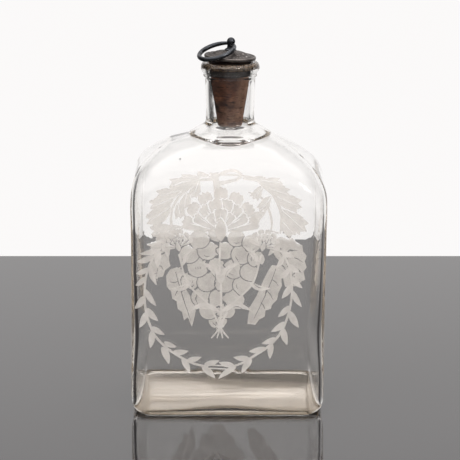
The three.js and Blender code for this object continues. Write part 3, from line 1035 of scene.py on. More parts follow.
def wreath():
    """Two leafy branches that hang from the top and meet at the foot."""
    left = [low(*p) for p in ((640, 722), (540, 700), (470, 670), (400, 630), (340, 590), (290, 545), (240, 490), (205, 420), (180, 350), (165, 280), (158, 200), (160, 120), (166, 60))]
    left += [high(*p) for p in ((185, 880), (230, 790), (290, 720), (350, 665), (410, 640))]
    right = [low(*p) for p in ((790, 728), (900, 690), (980, 640), (1060, 590), (1120, 540), (1170, 480), (1210, 400), (1240, 310), (1255, 220), (1260, 140), (1255, 60))]
    right += [high(*p) for p in ((1243, 890), (1205, 800), (1150, 730), (1090, 680), (1010, 640))]
    leaves = [
        (low, (
            (610, 700, 722, 674, 1), (480, 670, 590, 648, 1), (370, 610, 492, 604, 1), (306, 535, 404, 574, 1), (216, 420, 312, 482, 1), (172, 280, 262, 380, 1), (163, 140, 246, 268, 1),
            (590, 722, 692, 808, -1), (440, 660, 502, 766, -1), (290, 570, 346, 702, -1), (212, 450, 204, 582, -1), (170, 310, 122, 432, -1), (158, 190, 84, 298, -1), (164, 50, 88, 124, -1),
            (830, 706, 716, 688, -1), (945, 655, 826, 650, -1), (1070, 580, 940, 606, -1), (1145, 505, 1036, 548, -1), (1214, 385, 1106, 460, -1), (1240, 265, 1156, 350, -1), (1256, 105, 1182, 212, -1),
            (850, 722, 714, 812, 1), (965, 665, 888, 768, 1), (1116, 545, 1100, 664, 1), (1198, 430, 1228, 560, 1), (1246, 305, 1314, 430, 1), (1262, 150, 1334, 276, 1),
        )),
        (high, (
            (195, 860, 248, 1008, 1), (268, 748, 256, 884, 1), (186, 880, 92, 930, -1), (222, 790, 100, 838, -1), (262, 738, 118, 776, -1),
            (1240, 880, 1168, 962, -1), (1196, 790, 1142, 880, -1), (1128, 708, 1080, 790, -1),
            (1258, 950, 1338, 1030, 1), (1226, 850, 1316, 918, 1), (1170, 750, 1276, 800, 1),
            (412, 640, 212, 646, 1), (1010, 640, 1164, 620, -1), (354, 680, 168, 708, -1), (330, 700, 334, 806, 1),
        )),
    ]
    paint = [(stroke([F(*p) for p in stem], (1.1, 1.3, 1.3, 1.2, 1.15, 1.0, 0.8), 90), True) for stem in (left, right)]
    for grid, group in leaves:
        for x0, y0, x1, y1, hand in group:
            a, b = F(*grid(x0, y0)), F(*grid(x1, y1))
            size = np.linalg.norm(b - a)
            paint.append((leaf(a, b, 0.36 * size if size < 10.5 else 3.0, -0.05 * hand, 16, 0.82), True))
    for dy in (0, 24):
        paint.append((stroke([F(*low(610, 706 + dy)), F(*low(820, 716 + dy))], (0.5, 0.7, 0.5), 8), True))
    return paint


def petal(base, angle, length, width, teeth=3):
    """A petal that widens to a toothed end."""
    d = np.array([math.cos(angle), math.sin(angle)])
    nrm = np.array([-d[1], d[0]])
    side = []
    for t in np.linspace(0.0, 0.93, 9):
        side.append((t, 0.5 * width * (0.14 + 0.86 * math.sin(0.5 * math.pi * t) ** 1.25)))
    end = []
    for k in range(2 * teeth + 1):
        f = k / (2 * teeth)
        end.append((0.95 + 0.07 * math.sin(math.pi * f) + (0.05 if k % 2 else 0.0), 0.5 * width * (1 - 2 * f)))
    pts = [base + d * length * t + nrm * w for t, w in side]
    pts += [base + d * length * t + nrm * w for t, w in end]
    pts += [base + d * length * t - nrm * w for t, w in side[::-1]]
    return np.array(pts)


def carnation(base, angle, size):
    """A garden flower in side view: two rows of petals over a calyx."""
    out = []
    for count, reach_, wide, spread in ((7, 1.0, 0.34, 1.32), (6, 0.76, 0.32, 1.0), (3, 0.52, 0.3, 0.5)):
        order = sorted(range(count), key=lambda k: -abs(k - (count - 1) / 2))
        for k in order:
            a = angle + spread * (2 * k / (count - 1) - 1)
            far = size * reach_ * (1 - 0.1 * abs(2 * k / (count - 1) - 1))
            out.append((petal(base, a, far * 1.03, size * wide * 1.2), False))
            out.append((petal(base, a, far, size * wide), True))
            d = np.array([math.cos(a), math.sin(a)])
            out.append((stroke([base + d * far * 0.5, base + d * far * 0.84], (0.2, 0.4, 0.15), 6), False))
    d = np.array([math.cos(angle), math.sin(angle)])
    out.append((leaf(base - d * size * 0.28, base + d * size * 0.36, size * 0.34, 0.0, 14, 0.9), False))
    out.append((leaf(base - d * size * 0.26, base + d * size * 0.32, size * 0.27, 0.0, 14, 0.9), True))
    return out


def bouquet():
    """A small spray of garden flowers in the middle of the wreath."""
    paint = []
    tie = F(222, 326)
    for pts, w in (
        ([tie, F(223, 296), F(221, 264), F(222, 236)], (1.2, 1.1, 1.0)),
        ([tie, F(210, 304), F(190, 284), F(180, 254)], (1.1, 1.0, 0.9)),
        ([tie, F(234, 304), F(254, 284), F(263, 254)], (1.1, 1.0, 0.9)),
    ):
        paint.append((stroke(pts, w, 34), True))
    for s in (-1, 1):
        for x0, y0, x1, y1, wd, bow in (
            (0, 284, 21, 262, 3.4, 0.16), (0, 312, 33, 312, 3.4, 0.2), (29, 282, 50, 288, 3.0, -0.14), (38, 266, 22, 246, 2.8, -0.12),
        ):
            a, b = F(222 + s * x0, y0), F(222 + s * x1, y1)
            paint.append((leaf(a, b, wd, s * bow, 16, 0.8), True))
            paint.append((stroke([a + 0.2 * (b - a), a + 0.5 * (b - a) + s * bow * 0.9 * np.array([-(b - a)[1], (b - a)[0]]), a + 0.8 * (b - a)], (0.3, 0.34, 0.15), 8), False))
        paint += carnation(F(222 + s * 42.5, 247), math.pi / 2 - s * 0.3, 9.4)
    paint += carnation(F(222, 231), math.pi / 2, 22.0)
    paint.append((disc(tie, 2.3, 1.1, 16), True))
    for s in (-1.0, -0.33, 0.33, 1.0):
        paint.append((stroke([tie, tie + np.array([2.0 * s, -3.4]), tie + np.array([4.6 * s, -6.6])], (1.0, 0.9, 0.6), 8), True))
    return paint


def shape(points, grid=high):
    return np.array([B(*grid(*p)) for p in points])


def vine():
    """A bunch of grapes under vine leaves, with a tendril."""
    paint = []
    # upper leaves: fans of pointed lobes on both sides of the stalk
    fans = (
        ((640, 190, 540, 168, 40), (575, 205, 414, 216, 50), (500, 240, 338, 270, 56), (425, 285, 240, 338, 62), (375, 335, 190, 414, 66), (350, 400, 170, 528, 74), (440, 556, 204, 622, 92), (560, 240, 500, 340, 44), (470, 300, 446, 420, 48), (400, 370, 424, 490, 48)),
        ((940, 215, 1062, 214, 34), (1010, 232, 1192, 258, 52), (1080, 270, 1248, 326, 58), (1140, 330, 1334, 410, 66), (1178, 420, 1374, 592, 78), (1178, 490, 1288, 624, 70), (1040, 262, 966, 350, 44), (1106, 330, 1016, 440, 48)),
    )
    for fan, hand in zip(fans, (1, -1)):
        for x0, y0, x1, y1, w in fan:
            a, b = B(*high(x0, y0)), B(*high(x1, y1))
            wide = 1.4 * w / 7.467 / 1.86
            paint.append((leaf(a, b, wide, 0.05 * hand, 20, 0.95), True))
            d = (b - a) / np.linalg.norm(b - a)
            nrm = np.array([-d[1], d[0]])
            for f, h in ((0.4, 1), (0.46, -1), (0.62, 1), (0.66, -1)):
                m = a + f * (b - a)
                q = m + d * 0.62 * wide + h * nrm * wide * 0.6
                paint.append((leaf(m - d * 0.3 * wide, q, wide * 0.5, 0.0, 10), True))
        for x0, y0, x1, y1, w in fan[1:]:
            a, b = B(*high(x0, y0)), B(*high(x1, y1))
            paint.append((stroke([a + 0.04 * (b - a), a + 0.5 * (b - a), a + 0.9 * (b - a)], (0.3, 0.34, 0.12), 12), False))
    paint.append((stroke([B(*high(*p)) for p in ((352, 480), (352, 570), (312, 680))], (1.2, 1.4, 1.0), 20), True))
    for stem in (((660, 225), (560, 236), (470, 280), (400, 345), (360, 420), (352, 490)), ((890, 215), (1010, 240), (1100, 300), (1160, 390), (1182, 480), (1174, 610))):
        paint.append((stroke([B(*high(*p)) for p in stem], (2.0, 2.0, 1.6, 0.9), 40), True))
    # stalk and tendril
    paint.append((stroke([B(*high(*p)) for p in ((672, 158), (676, 200), (690, 260), (700, 400), (700, 560))], (2.6, 4.0, 2.8, 1.6), 30), True))
    paint.append((stroke([B(*high(*p)) for p in ((690, 205), (735, 158), (800, 132), (858, 150), (874, 190), (842, 226), (770, 243), (700, 252))], (2.2, 2.4, 2.2, 2.0, 1.5), 60), True))
    paint.append((stroke([B(*high(*p)) for p in ((705, 178), (800, 180), (900, 192), (1000, 218), (1040, 222), (1062, 200))], (1.6, 2.1, 1.9, 1.3, 0.5), 50), True))
    for x, y in ((640, 150), (704, 148), (720, 196), (628, 204)):
        paint.append((leaf(B(*high(674, 190)), B(*high(x, y)), 2.2, 0.05, 12), True))
    # side leaves and the arched stems on the right
    paint.append((stroke([B(*high(*p)) for p in ((930, 300), (1030, 340), (1085, 420), (1110, 520), (1100, 600))], (0.8, 1.3, 1.3, 0.8), 40), True))
    paint.append((leaf(B(*high(1060, 440)), B(*high(985, 585)), 6.0, -0.28, 18), True))
    for outline, veins in (
        (((1130, 655), (1180, 640), (1232, 662), (1262, 648), (1296, 690), (1336, 700), (1342, 748), (1374, 782), (1354, 822), (1376, 868), (1346, 898), (1362, 962), (1330, 974), (1334, 1020), (1296, 990), (1270, 1046), (1240, 1000), (1208, 1014), (1190, 940), (1160, 900), (1140, 800), (1118, 740)),
         (((1150, 690), (1220, 790), (1290, 950)), ((1190, 740), (1250, 736), (1300, 740)), ((1225, 800), (1290, 800), (1340, 830)), ((1190, 790), (1196, 850), (1210, 920)), ((1250, 860), (1300, 874), (1330, 910)))),
        (((1110, 850), (1162, 846), (1170, 880), (1194, 905), (1178, 950), (1186, 1005), (1160, 1060), (1150, 1110), (1112, 1150), (1106, 1176), (1066, 1190), (1060, 1236), (1020, 1256), (990, 1296), (930, 1290), (936, 1230), (950, 1160), (1010, 1060), (1040, 980), (1080, 900)),
         (((1140, 880), (1080, 1040), (980, 1250)), ((1110, 960), (1140, 980), (1160, 1010)), ((1080, 1050), (1100, 1070), (1120, 1110)), ((1030, 1130), (1050, 1150), (1060, 1180)))),
        (((322, 930), (350, 884), (400, 866), (430, 890), (462, 900), (470, 950), (490, 985), (474, 1040), (520, 1110), (524, 1150), (544, 1180), (534, 1240), (515, 1312), (482, 1240), (455, 1262), (440, 1200), (408, 1176), (400, 1120), (366, 1100), (360, 1050), (326, 1010)),
         (((390, 900), (430, 1040), (506, 1270)), ((410, 970), (380, 980), (350, 975)), ((425, 1030), (400, 1060), (385, 1080)), ((440, 1060), (460, 1050), (466, 1030)))),
        (((206, 694), (271, 660), (336, 694), (352, 753), (340, 812), (352, 857), (313, 890), (298, 936), (262, 944), (249, 1000), (228, 973), (204, 966), (212, 911), (196, 869), (202, 812), (194, 752)),
         (((292, 690), (270, 800), (246, 950)), ((282, 750), (306, 770), (326, 800)), ((272, 800), (242, 806), (222, 824)), ((264, 850), (286, 862), (300, 884)))),
    ):
        paint.append((shape(outline), True))
        for v in veins:
            paint.append((stroke([B(*high(*p)) for p in v], (0.3, 0.5, 0.2), 12), False))
    paint += grapes()
    return paint


def grapes():
    paint = []
    rows = (
        ((710, 1262),),
        ((642, 1188), (772, 1190)),
        ((585, 1088), (708, 1092), (832, 1098)),
        ((500, 968), (622, 980), (756, 988), (884, 1000)),
        ((555, 868), (690, 862), (822, 882), (940, 905)),
        ((492, 770), (624, 746), (756, 748), (880, 776), (992, 806)),
        ((562, 660), (842, 652), (958, 690), (700, 612)),
    )
    k = 0
    for row in rows:
        for x, y in row:
            c = B(*high(x, y))
            rr = 5.5 * (0.96 + 0.08 * math.sin(k * 2.7))
            paint.append((disc(c, rr + 0.5, (rr + 0.5) * 0.95, 30), False))
            paint.append((disc(c, rr, rr * 0.95, 30), True))
            # a clear glint and, here and there, a few short hatches
            a = math.radians(235 + 50 * math.sin(1.3 * k))
            p = [c + rr * 0.62 * np.array([math.cos(a + v), math.sin(a + v)]) for v in (-0.55, 0.0, 0.55)]
            if k % 3 != 1:
                paint.append((stroke(p, (0.15, 0.5, 0.15), 10), False))
            if k % 4 == 2:
                for i in range(4):
                    q = c + np.array([-1.4 + 0.9 * i, -0.2 * rr])
                    paint.append((stroke([q, q + np.array([0.1, 1.5])], (0.24, 0.16), 4), False))
            k += 1
    return paint


glass, inlays = build_glass(
    [
        ("front", J_FRONT, wreath() + bouquet()),
        ("back", J_BACK, vine()),
    ]
)
inlay("front_engraving", *inlays[0], FROST_FRONT)
inlay("back_engraving", *inlays[1], FROST_BACK)


def skin(name, rows_low, rows_high, material):
    """A thin closed skin between two stacks of rings, the last ring of each drawn to a point."""
    verts, faces, stacks = [], [], []
    for stack in (rows_low, rows_high):
        ids = []
        for ring in stack:
            base = len(verts)
            verts.extend(tuple(c * MM for c in p) for p in ring)
            ids.append(list(range(base, base + len(ring))))
        stacks.append(ids)
    n = len(stacks[0][0])
    for flip, ids in zip((1, -1), stacks):
        for a, b in zip(ids[:-1], ids[1:]):
            for j in range(n):
                k = (j + 1) % n
                if len(b) == 1:
                    faces.append((a[j], a[k], b[0])[::flip])
                else:
                    faces.append((a[j], a[k], b[k], b[j])[::flip])
    for a, b in ((stacks[0][0], stacks[1][0]),) + (((stacks[0][-1], stacks[1][-1]),) if len(stacks[0][-1]) > 1 else ()):
        for j in range(n):
            k = (j + 1) % n
            faces.append((a[j], b[j], b[k], a[k]))
    o = mesh_object(name, verts, faces, material, "bottle")
    outward(o)
    return o


def floor_skin(name, material, low, high):
    """A film on the floor inside, between two heights over it."""
    low_rows, high_rows = [], []
    for row in [r for r in catmull(INNER_HEEL, 0.5) if r[0] <= 4.4]:
        ring = [settle(p, True) for p in ring_at(*row, 0.0)]
        for rows, lift in ((low_rows, low), (high_rows, high)):
            f = 1.0 - lift / 80.0
            rows.append([(x * f, y * f, z + lift) for x, y, z in ring])
    x, y, z = settle((0.0, 0.0, FLOOR_Z), True)
    low_rows.append([(x, y, z + low)])
    high_rows.append([(x, y, z + high)])
    return skin(name, low_rows, high_rows, material)


# painted light: the cream film paints the glow of light caught in the base
floor_skin("floor_glow_skin", FLOOR_GLOW_FILM, 0.03, 0.09)
floor_skin("dark_floor_skin", DARK_FLOOR_FILM, 0.12, 0.16)


def dark_seed():
    """A grain caught in the glass of the left shoulder."""
    rows = [(0.42 * math.sin(t), 0.45 * math.cos(t)) for t in np.linspace(-math.pi / 2, math.pi / 2, 13)]
    v, f = lathe(rows, 20)
    place = settle((-25.2, -27.75, 136.5), False)
    o = mesh_object("dark_seed", [tuple((c + d) * MM for c, d in zip(p, place)) for p in v], f, SEED, "bottle")
    outward(o)
    return o


dark_seed()


def heel_glow():
    """A warm film on the edge the bottle stands on: painted light for the golden glow along the rim, most opaque at its
    lowest edge.
    """
    low_rows, high_rows = [], []
    for row in [r for r in catmull(FOOT, 0.3) if r[2] > 37.6 and r[0] <= 3.1]:
        for rows, extra in ((low_rows, 0.03), (high_rows, 0.08)):
            z, a, b, r = row
            ring = ring_at(max(z, 0.02), a + extra, b + extra, r + extra, 0.0)
            rows.append([settle(p, False) for p in ring])
    return skin("heel_glow", low_rows, high_rows, FOOT_GLOW_FILM)


heel_glow()


def mouth_stain():
    keys = [(182.4, 15.2), (183.45, 14.65), (183.95, 13.95), (184.0, 13.05), (183.7, 12.4), (182.9, 12.08), (181.6, 11.93), (180.7, 11.9)]
    low_rows, high_rows = [], []
    path = catmull(keys, 0.5)
    for k, (z, r) in enumerate(path):
        (z0, r0), (z1, r1) = path[max(k - 1, 0)], path[min(k + 1, len(path) - 1)]
        length = math.hypot(z1 - z0, r1 - r0)
        for rows, extra in ((low_rows, 0.0), (high_rows, 0.06)):
            rr, zz = r + extra * (z1 - z0) / length, z - extra * (r1 - r0) / length
            rows.append([settle((rr * math.cos(t), rr * math.sin(t), zz), False) for t in EVEN])
    return skin("mouth_stain", high_rows, low_rows, MOUTH_FILM)


mouth_stain()


def neck_gap_shade():
    # painted shade: the film darkens the gap on the left of the cork
    keys = [(174.6, 10.98), (171.0, 10.68), (165.0, 10.48), (157.0, 10.23), (150.6, 10.05)]
    low_rows, high_rows = [], []
    for z, r in catmull(keys, 1.2):
        for rows, extra in ((low_rows, -0.06), (high_rows, 0.0)):
            rows.append([settle(((r + extra) * math.cos(t), (r + extra) * math.sin(t), z), False) for t in EVEN])
    return skin("neck_gap_shade", low_rows, high_rows, NECK_SHADE_FILM)


neck_gap_shade()


# -------------------------------------------------------------------- the stopper
def cork_piece():
    profile = catmull(
        [(152.8, 4.3), (147.25, 4.3), (147.22, 5.2), (147.2, 6.1), (147.5, 6.5), (152.7, 6.95), (158.0, 7.65), (163.5, 8.5), (168.9, 9.45), (173.0, 10.15), (175.5, 10.32), (176.4, 10.25), (176.8, 10.18), (180.0, 10.2), (184.3, 10.2), (184.48, 9.9), (184.5, 6.0), (184.5, 1.55)],
        0.45,
    )
    rows = [(z, r) for z, r in profile] + [(z, 1.52) for z in np.linspace(183.5, 153.5, 12)] + [(152.82, 1.54), (152.8, 3.0)]

    def warp(p, k, j):
        x, y, z = p
        r = math.hypot(x, y)
        if r < 4.6 or z > 176.3:
            return p
        q = Vector((x * 0.35, y * 0.35, z * 0.5))
        d = 0.16 * noise.noise(q) + 0.1 * noise.noise(q * 2.7)
        pit = noise.noise(Vector((x * 0.55, y * 0.55, z * 1.5)) + Vector((7.1, 3.3, 1.9)))
        if pit > 0.28:
            d -= 1.5 * (pit - 0.28)
        d = min(d, 0.02) * smoothstep(r, 4.7, 6.0)
        f = (r + d) / r
        return (x * f, y * f, z)

    v, f = lathe(rows + [rows[0]], 112, warp)
    o = mesh_object("cork_stopper", [tuple(c * MM for c in p) for p in v], f, CORK, "stopper", sharp=50)
    bm = bmesh.new()
    bm.from_mesh(o.data)
    bmesh.ops.remove_doubles(bm, verts=bm.verts, dist=2e-6)
    bmesh.ops.recalc_face_normals(bm, faces=bm.faces)
    bm.to_mesh(o.data)
    bm.free()
    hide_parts("cork")
    return o


cork_piece()


def band_piece():
    rows = catmull(
        [(176.95, 10.55), (176.9, 10.8), (177.0, 11.1), (177.35, 11.2), (177.8, 11.15), (178.15, 10.98), (178.6, 10.92), (182.9, 10.92), (183.2, 10.95), (183.7, 11.12), (184.15, 11.15), (184.55, 11.0), (184.68, 10.75), (184.6, 10.55)],
        0.25,
    )
    rows = [tuple(r) for r in rows] + [(z, 10.5) for z in np.linspace(184.2, 177.4, 8)]

    def warp(p, k, j):
        x, y, z = p
        d = 0.05 * noise.noise(Vector((x * 0.4, y * 0.4, z * 0.5)))
        r = math.hypot(x, y)
        f = min((r + d) / r, 11.2 / r)
        return (x * f, y * f, z) if r > 10.7 else p

    v, f = lathe(rows + [rows[0]], 96, warp)
    o = mesh_object("cork_band", [tuple(c * MM for c in p) for p in v], f, BAND, "stopper", sharp=60)
    bm = bmesh.new()
    bm.from_mesh(o.data)
    bmesh.ops.remove_doubles(bm, verts=bm.verts, dist=2e-6)
    bmesh.ops.recalc_face_normals(bm, faces=bm.faces)
    bm.to_mesh(o.data)
    bm.free()
    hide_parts("cork_ferrule")
    return o


band_piece()

TILT = Matrix.Translation((0.0, 0.0, 186.05)) @ Matrix.Rotation(math.radians(3.5), 4, "Y")


def seated(p):
    """From the cap's own crooked frame to the bottle's, in metres."""
    q = TILT @ Vector(p)
    return (q.x * MM, q.y * MM, q.z * MM)


def cap_piece():
    R = 13.8
    outer = catmull(
        [(0.0, 12.2), (0.0, 13.3), (0.2, 13.65), (0.6, 13.8), (1.15, 13.78), (1.55, 13.6), (1.78, 13.25), (1.75, 12.85), (1.5, 12.55), (1.5, 12.2), (1.75, 11.4), (2.15, 10.2), (2.65, 8.7), (3.15, 7.2), (3.6, 5.5), (3.95, 4.2), (4.2, 3.6), (4.3, 3.0), (4.3, 2.3)],
        0.22,
    )
    under = [(4.1, 2.1), (3.4, 2.1), (3.0, 2.6), (2.4, 5.0), (1.5, 8.0), (0.85, 9.8), (0.45, 11.3), (0.1, 11.9)]
    rows = [tuple(r) for r in outer] + under
    n = 180

    def warp(p, k, j):
        x, y, z = p
        if k >= len(outer) or z < 0.3:
            return p
        r = math.hypot(x, y)
        t = math.atan2(y, x)
        d = 0.0
        if 4.4 < r < 11.9 and z > 1.4:
            # petals of a rosette, with a ring of beads outside them
            s = abs(math.cos(6 * t))
            edge = 9.2 * (0.72 + 0.28 * s**0.6)
            f = smoothstep(r, 4.4, 5.4) * (1 - smoothstep(r, edge - 0.5, edge + 0.2))
            d += 0.32 * f * (0.55 + 0.45 * s)
            d -= 0.16 * f * math.exp(-((math.sin(6 * t) / 0.12) ** 2))
            bead = math.exp(-(((r - 10.9) / 0.5) ** 2))
            d += 0.26 * bead * (0.35 + 0.65 * max(0.0, math.cos(36 * t)))
        if r > 12.7 and z > 1.0:
            d += 0.09 * math.cos(54 * t + 3.0 * (z - 1.0))
        d += 0.05 * noise.noise(Vector((x * 0.5, y * 0.5, 3.0)))
        if r > 12.6:
            return (x, y, min(z + d * 0.5, 1.8) if z > 1.0 else z)
        return (x, y, min(z + d, 4.3))

    v, f = lathe(rows + [rows[0]], n, warp)
    o = mesh_object("cap_disc", [seated(p) for p in v], f, CAP, "stopper", sharp=50)
    bm = bmesh.new()
    bm.from_mesh(o.data)
    bmesh.ops.remove_doubles(bm, verts=bm.verts, dist=2e-6)
    bmesh.ops.recalc_face_normals(bm, faces=bm.faces)
    bm.to_mesh(o.data)
    bm.free()
    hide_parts("cap_medallion")
    return o


cap_piece()

EYE_Z, EYE_R = 7.85, 1.15
YAW, DROP = math.radians(35.0), math.radians(23.0)
EYE_AXIS = Vector((math.sin(YAW), -math.cos(YAW), 0.0))


def post_piece():
    rows = catmull(
        [(6.1, 0.0), (6.1, 1.8), (4.52, 1.8), (4.5, 2.9), (4.62, 3.08), (4.85, 3.05), (5.1, 2.75), (5.35, 2.3), (5.75, 2.02), (6.4, 1.92), (7.3, 1.95), (8.0, 2.02), (8.6, 2.2), (9.1, 2.25), (9.8, 2.1), (10.5, 1.68), (11.0, 1.05), (11.2, 0.5), (11.24, 0.0)],
        0.2,
    )
    rows = [(z, max(r, 0.0)) for z, r in rows]
    rows[0] = (6.1, 0.0)
    rows[-1] = (11.24, 0.0)
    v, f = lathe(rows, 56)
    me = bpy.data.meshes.new("post")
    me.from_pydata(v, [], f)
    post = bpy.data.objects.new("ring_post_ball", me)
    scene.collection.objects.link(post)
    outward(post)
    # the eye, with a rounded mouth at each side
    hole = []
    for s in np.linspace(-1, 1, 41):
        t = 3.2 * s
        flare = 0.34 * smoothstep(abs(t), 1.35, 2.3)
        hole.append((t, EYE_R + flare))
    v, f = lathe([(hole[0][0], 0.0)] + hole + [(hole[-1][0], 0.0)], 40)
    m = EYE_AXIS.to_track_quat("Z", "Y").to_matrix().to_4x4()
    v = [Matrix.Translation((0, 0, EYE_Z)) @ m @ Vector(p) for p in v]
    me2 = bpy.data.meshes.new("drill")
    me2.from_pydata([tuple(p) for p in v], [], f)
    drill = bpy.data.objects.new("drill", me2)
    scene.collection.objects.link(drill)
    outward(drill)
    mod = post.modifiers.new("eye", "BOOLEAN")
    mod.operation = "DIFFERENCE"
    mod.object = drill
    mod.solver = "EXACT"
    dg = bpy.context.evaluated_depsgraph_get()
    done = bpy.data.meshes.new_from_object(post.evaluated_get(dg))
    post.modifiers.clear()
    post.data = done
    bpy.data.objects.remove(drill)
    for vert in done.vertices:
        vert.co = seated(vert.co)
    done.polygons.foreach_set("use_smooth", [True] * len(done.polygons))
    done.set_sharp_from_angle(angle=math.radians(40))
    done.materials.clear()
    done.materials.append(RING)
    done.update()
    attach(post, "stopper")
    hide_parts("ring_post")
    return post


post_piece()


def ring_piece():
    R, n, k = 9.65, 160, 28
    w = Vector((-math.cos(YAW) * math.cos(DROP), -math.sin(YAW) * math.cos(DROP), -math.sin(DROP)))
    u = EYE_AXIS
    nrm = (-w).cross(u)
    c0 = Vector((0, 0, EYE_Z)) + w * R
    verts, rings, faces = [], [], []
    for i in range(n):
        a = 2 * math.pi * i / n
        b = a if a <= math.pi else a - 2 * math.pi
        wire = 1.24 - 0.44 * math.exp(-((b / 0.6) ** 2))
        wire *= 1.0 - 0.03 * abs(noise.noise(Vector((math.cos(a) * 2.2, math.sin(a) * 2.2, 0.3))))
        d = -w * math.cos(a) + u * math.sin(a)
        ids = []
        for j in range(k):
            t = 2 * math.pi * j / k
            flat = 1.0 - 0.06 * max(0.0, math.cos(2 * t)) * (1 - math.exp(-((b / 0.9) ** 2)))
            hammer = 1.0 - 0.025 * abs(noise.noise(Vector((math.cos(a) * 5, math.sin(a) * 5, t * 0.8))))
            q = c0 + d * (R + wire * math.cos(t) * hammer) + nrm * (wire * math.sin(t) * flat * hammer)
            verts.append(seated(q))
            ids.append(len(verts) - 1)
        rings.append(ids)
    loop_rings(verts, rings, True, faces)
    o = mesh_object("swing_ring", verts, faces, RING, "ring")
    outward(o)
    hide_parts("pull_ring")
    return o


ring_piece()

for name in ("spindle", "spindle_washer", "spindle_nut"):
    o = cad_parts[name]
    if not o.material_slots:
        o.data.materials.append(IRON)
    for s in o.material_slots:
        s.material = IRON

# --------------------------------------------------------------- floor and light
EDGE, WIDE, NEAR = 0.341, 0.55, -1.9
fv, ff = [], []
bevel = 0.002
for z, e in ((-0.0003, bevel), (-0.0003 - bevel, 0.0), (-0.03, 0.0)):
    fv += [(-WIDE + e, NEAR + e, z), (WIDE - e, NEAR + e, z), (WIDE - e, EDGE - e, z), (-WIDE + e, EDGE - e, z)]
ff = [(0, 1, 2, 3), (11, 10, 9, 8)]
for k in (0, 4):
    for j in range(4):
        ff.append((k + j, k + 4 + j, k + 4 + (j + 1) % 4, k + (j + 1) % 4))
fm = bpy.data.meshes.new("floor")
fm.from_pydata(fv, [], ff)
fm.materials.append(floor_material())
floor = bpy.data.objects.new("floor", fm)
scene.collection.objects.link(floor)
outward(floor)

world = bpy.data.worlds.new("studio")
scene.world = world
world.use_nodes = True
wt = world.node_tree
wt.nodes.clear()
w_out = wt.nodes.new("ShaderNodeOutputWorld")
w_bg = wt.nodes.new("ShaderNodeBackground")
w_tc = wt.nodes.new("ShaderNodeTexCoord")
w_sep = wt.nodes.new("ShaderNodeSeparateXYZ")
wt.links.new(w_tc.outputs["Generated"], w_sep.inputs["Vector"])
w_az = node(wt, "ShaderNodeMath", operation="ARCTAN2")
wt.links.new(w_sep.outputs["X"], w_az.inputs[0])
wt.links.new(w_sep.outputs["Y"], w_az.inputs[1])
w_turn = node(wt, "ShaderNodeMath", operation="SUBTRACT")
w_turn.inputs[1].default_value = math.radians(10.0)
wt.links.new(w_az.outputs["Value"], w_turn.inputs[0])
w_cos = node(wt, "ShaderNodeMath", operation="COSINE")
wt.links.new(w_turn.outputs["Value"], w_cos.inputs[0])
# a white screen behind, a dark room at the sides and in front
w_gap = node(wt, "ShaderNodeMapRange", interpolation_type="SMOOTHSTEP")
w_gap.inputs["From Min"].default_value = 0.5
w_gap.inputs["From Max"].default_value = 0.88
w_gap.inputs["To Min"].default_value = 0.06
w_gap.inputs["To Max"].default_value = 0.965
wt.links.new(w_cos.outputs["Value"], w_gap.inputs["Value"])
# a broad bright canopy over the front, and a smaller one overhead
w_front = node(wt, "ShaderNodeMapRange", interpolation_type="SMOOTHSTEP")
w_front.inputs["From Min"].default_value = 0.2
w_front.inputs["From Max"].default_value = -0.4
w_front.inputs["To Min"].default_value = 0.0
w_front.inputs["To Max"].default_value = 1.7
wt.links.new(w_cos.outputs["Value"], w_front.inputs["Value"])
w_high = node(wt, "ShaderNodeMapRange", interpolation_type="SMOOTHSTEP")
w_high.inputs["From Min"].default_value = 0.3
w_high.inputs["From Max"].default_value = 0.55
wt.links.new(w_sep.outputs["Z"], w_high.inputs["Value"])
w_can = node(wt, "ShaderNodeMath", operation="MULTIPLY")
wt.links.new(w_front.outputs["Result"], w_can.inputs[0])
wt.links.new(w_high.outputs["Result"], w_can.inputs[1])
w_top = node(wt, "ShaderNodeMapRange", interpolation_type="SMOOTHSTEP")
w_top.inputs["From Min"].default_value = 0.62
w_top.inputs["From Max"].default_value = 0.88
w_top.inputs["To Min"].default_value = 0.0
w_top.inputs["To Max"].default_value = 2.2
wt.links.new(w_sep.outputs["Z"], w_top.inputs["Value"])
w_near = node(wt, "ShaderNodeMath", operation="SUBTRACT")
w_near.inputs[1].default_value = math.radians(150.0)
wt.links.new(w_az.outputs["Value"], w_near.inputs[0])
w_ncos = node(wt, "ShaderNodeMath", operation="COSINE")
wt.links.new(w_near.outputs["Value"], w_ncos.inputs[0])
w_side = node(wt, "ShaderNodeMapRange", interpolation_type="SMOOTHSTEP")
w_side.inputs["From Min"].default_value = 0.35
w_side.inputs["From Max"].default_value = 0.85
w_side.inputs["To Max"].default_value = 0.75
wt.links.new(w_ncos.outputs["Value"], w_side.inputs["Value"])
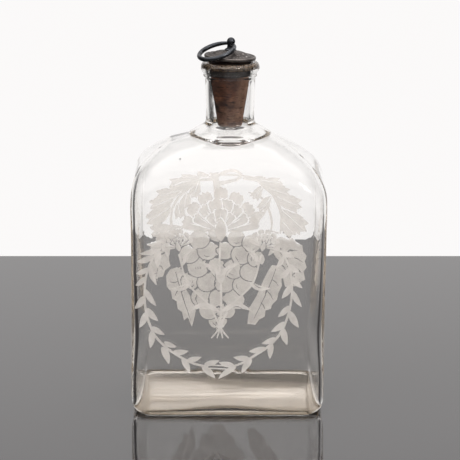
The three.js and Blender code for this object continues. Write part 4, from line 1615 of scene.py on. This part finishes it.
w_rise = node(wt, "ShaderNodeMapRange", interpolation_type="SMOOTHSTEP")
w_rise.inputs["From Min"].default_value = -0.15
w_rise.inputs["From Max"].default_value = 0.05
wt.links.new(w_sep.outputs["Z"], w_rise.inputs["Value"])
w_glow = node(wt, "ShaderNodeMath", operation="MULTIPLY")
wt.links.new(w_side.outputs["Result"], w_glow.inputs[0])
wt.links.new(w_rise.outputs["Result"], w_glow.inputs[1])
w_max0 = node(wt, "ShaderNodeMath", operation="MAXIMUM")
wt.links.new(w_gap.outputs["Result"], w_max0.inputs[0])
wt.links.new(w_glow.outputs["Value"], w_max0.inputs[1])
w_max1 = node(wt, "ShaderNodeMath", operation="MAXIMUM")
wt.links.new(w_max0.outputs["Value"], w_max1.inputs[0])
wt.links.new(w_top.outputs["Result"], w_max1.inputs[1])
w_max = node(wt, "ShaderNodeMath", operation="MAXIMUM")
wt.links.new(w_max1.outputs["Value"], w_max.inputs[0])
wt.links.new(w_can.outputs["Value"], w_max.inputs[1])
w_bg.inputs["Color"].default_value = (1.0, 0.985, 0.98, 1.0)
wt.links.new(w_max.outputs["Value"], w_bg.inputs["Strength"])
wt.links.new(w_bg.outputs["Background"], w_out.inputs["Surface"])



def softbox(name, place, aim, size, watts, colour, seen=True):
    l = bpy.data.lights.new(name, "AREA")
    l.shape = "RECTANGLE"
    l.size, l.size_y = size
    l.energy = watts
    l.color = colour
    o = bpy.data.objects.new(name, l)
    o.location = place
    o.rotation_euler = (Vector(aim) - Vector(place)).to_track_quat("-Z", "Y").to_euler()
    o.visible_glossy = seen
    o.visible_transmission = seen
    scene.collection.objects.link(o)


softbox("key", (0.75, -0.95, 1.05), (0.0, 0.0, 0.12), (0.4, 0.3), 4.0, (1.0, 0.97, 0.94))
softbox("fill_front", (-0.3, -1.0, 1.1), (0.0, 0.0, 0.1), (0.9, 0.7), 9.0, (1.0, 0.965, 0.935), seen=False)
softbox("fill_back", (0.2, 0.95, 1.1), (0.0, 0.0, 0.1), (0.9, 0.7), 17.0, (1.0, 0.965, 0.935), seen=False)
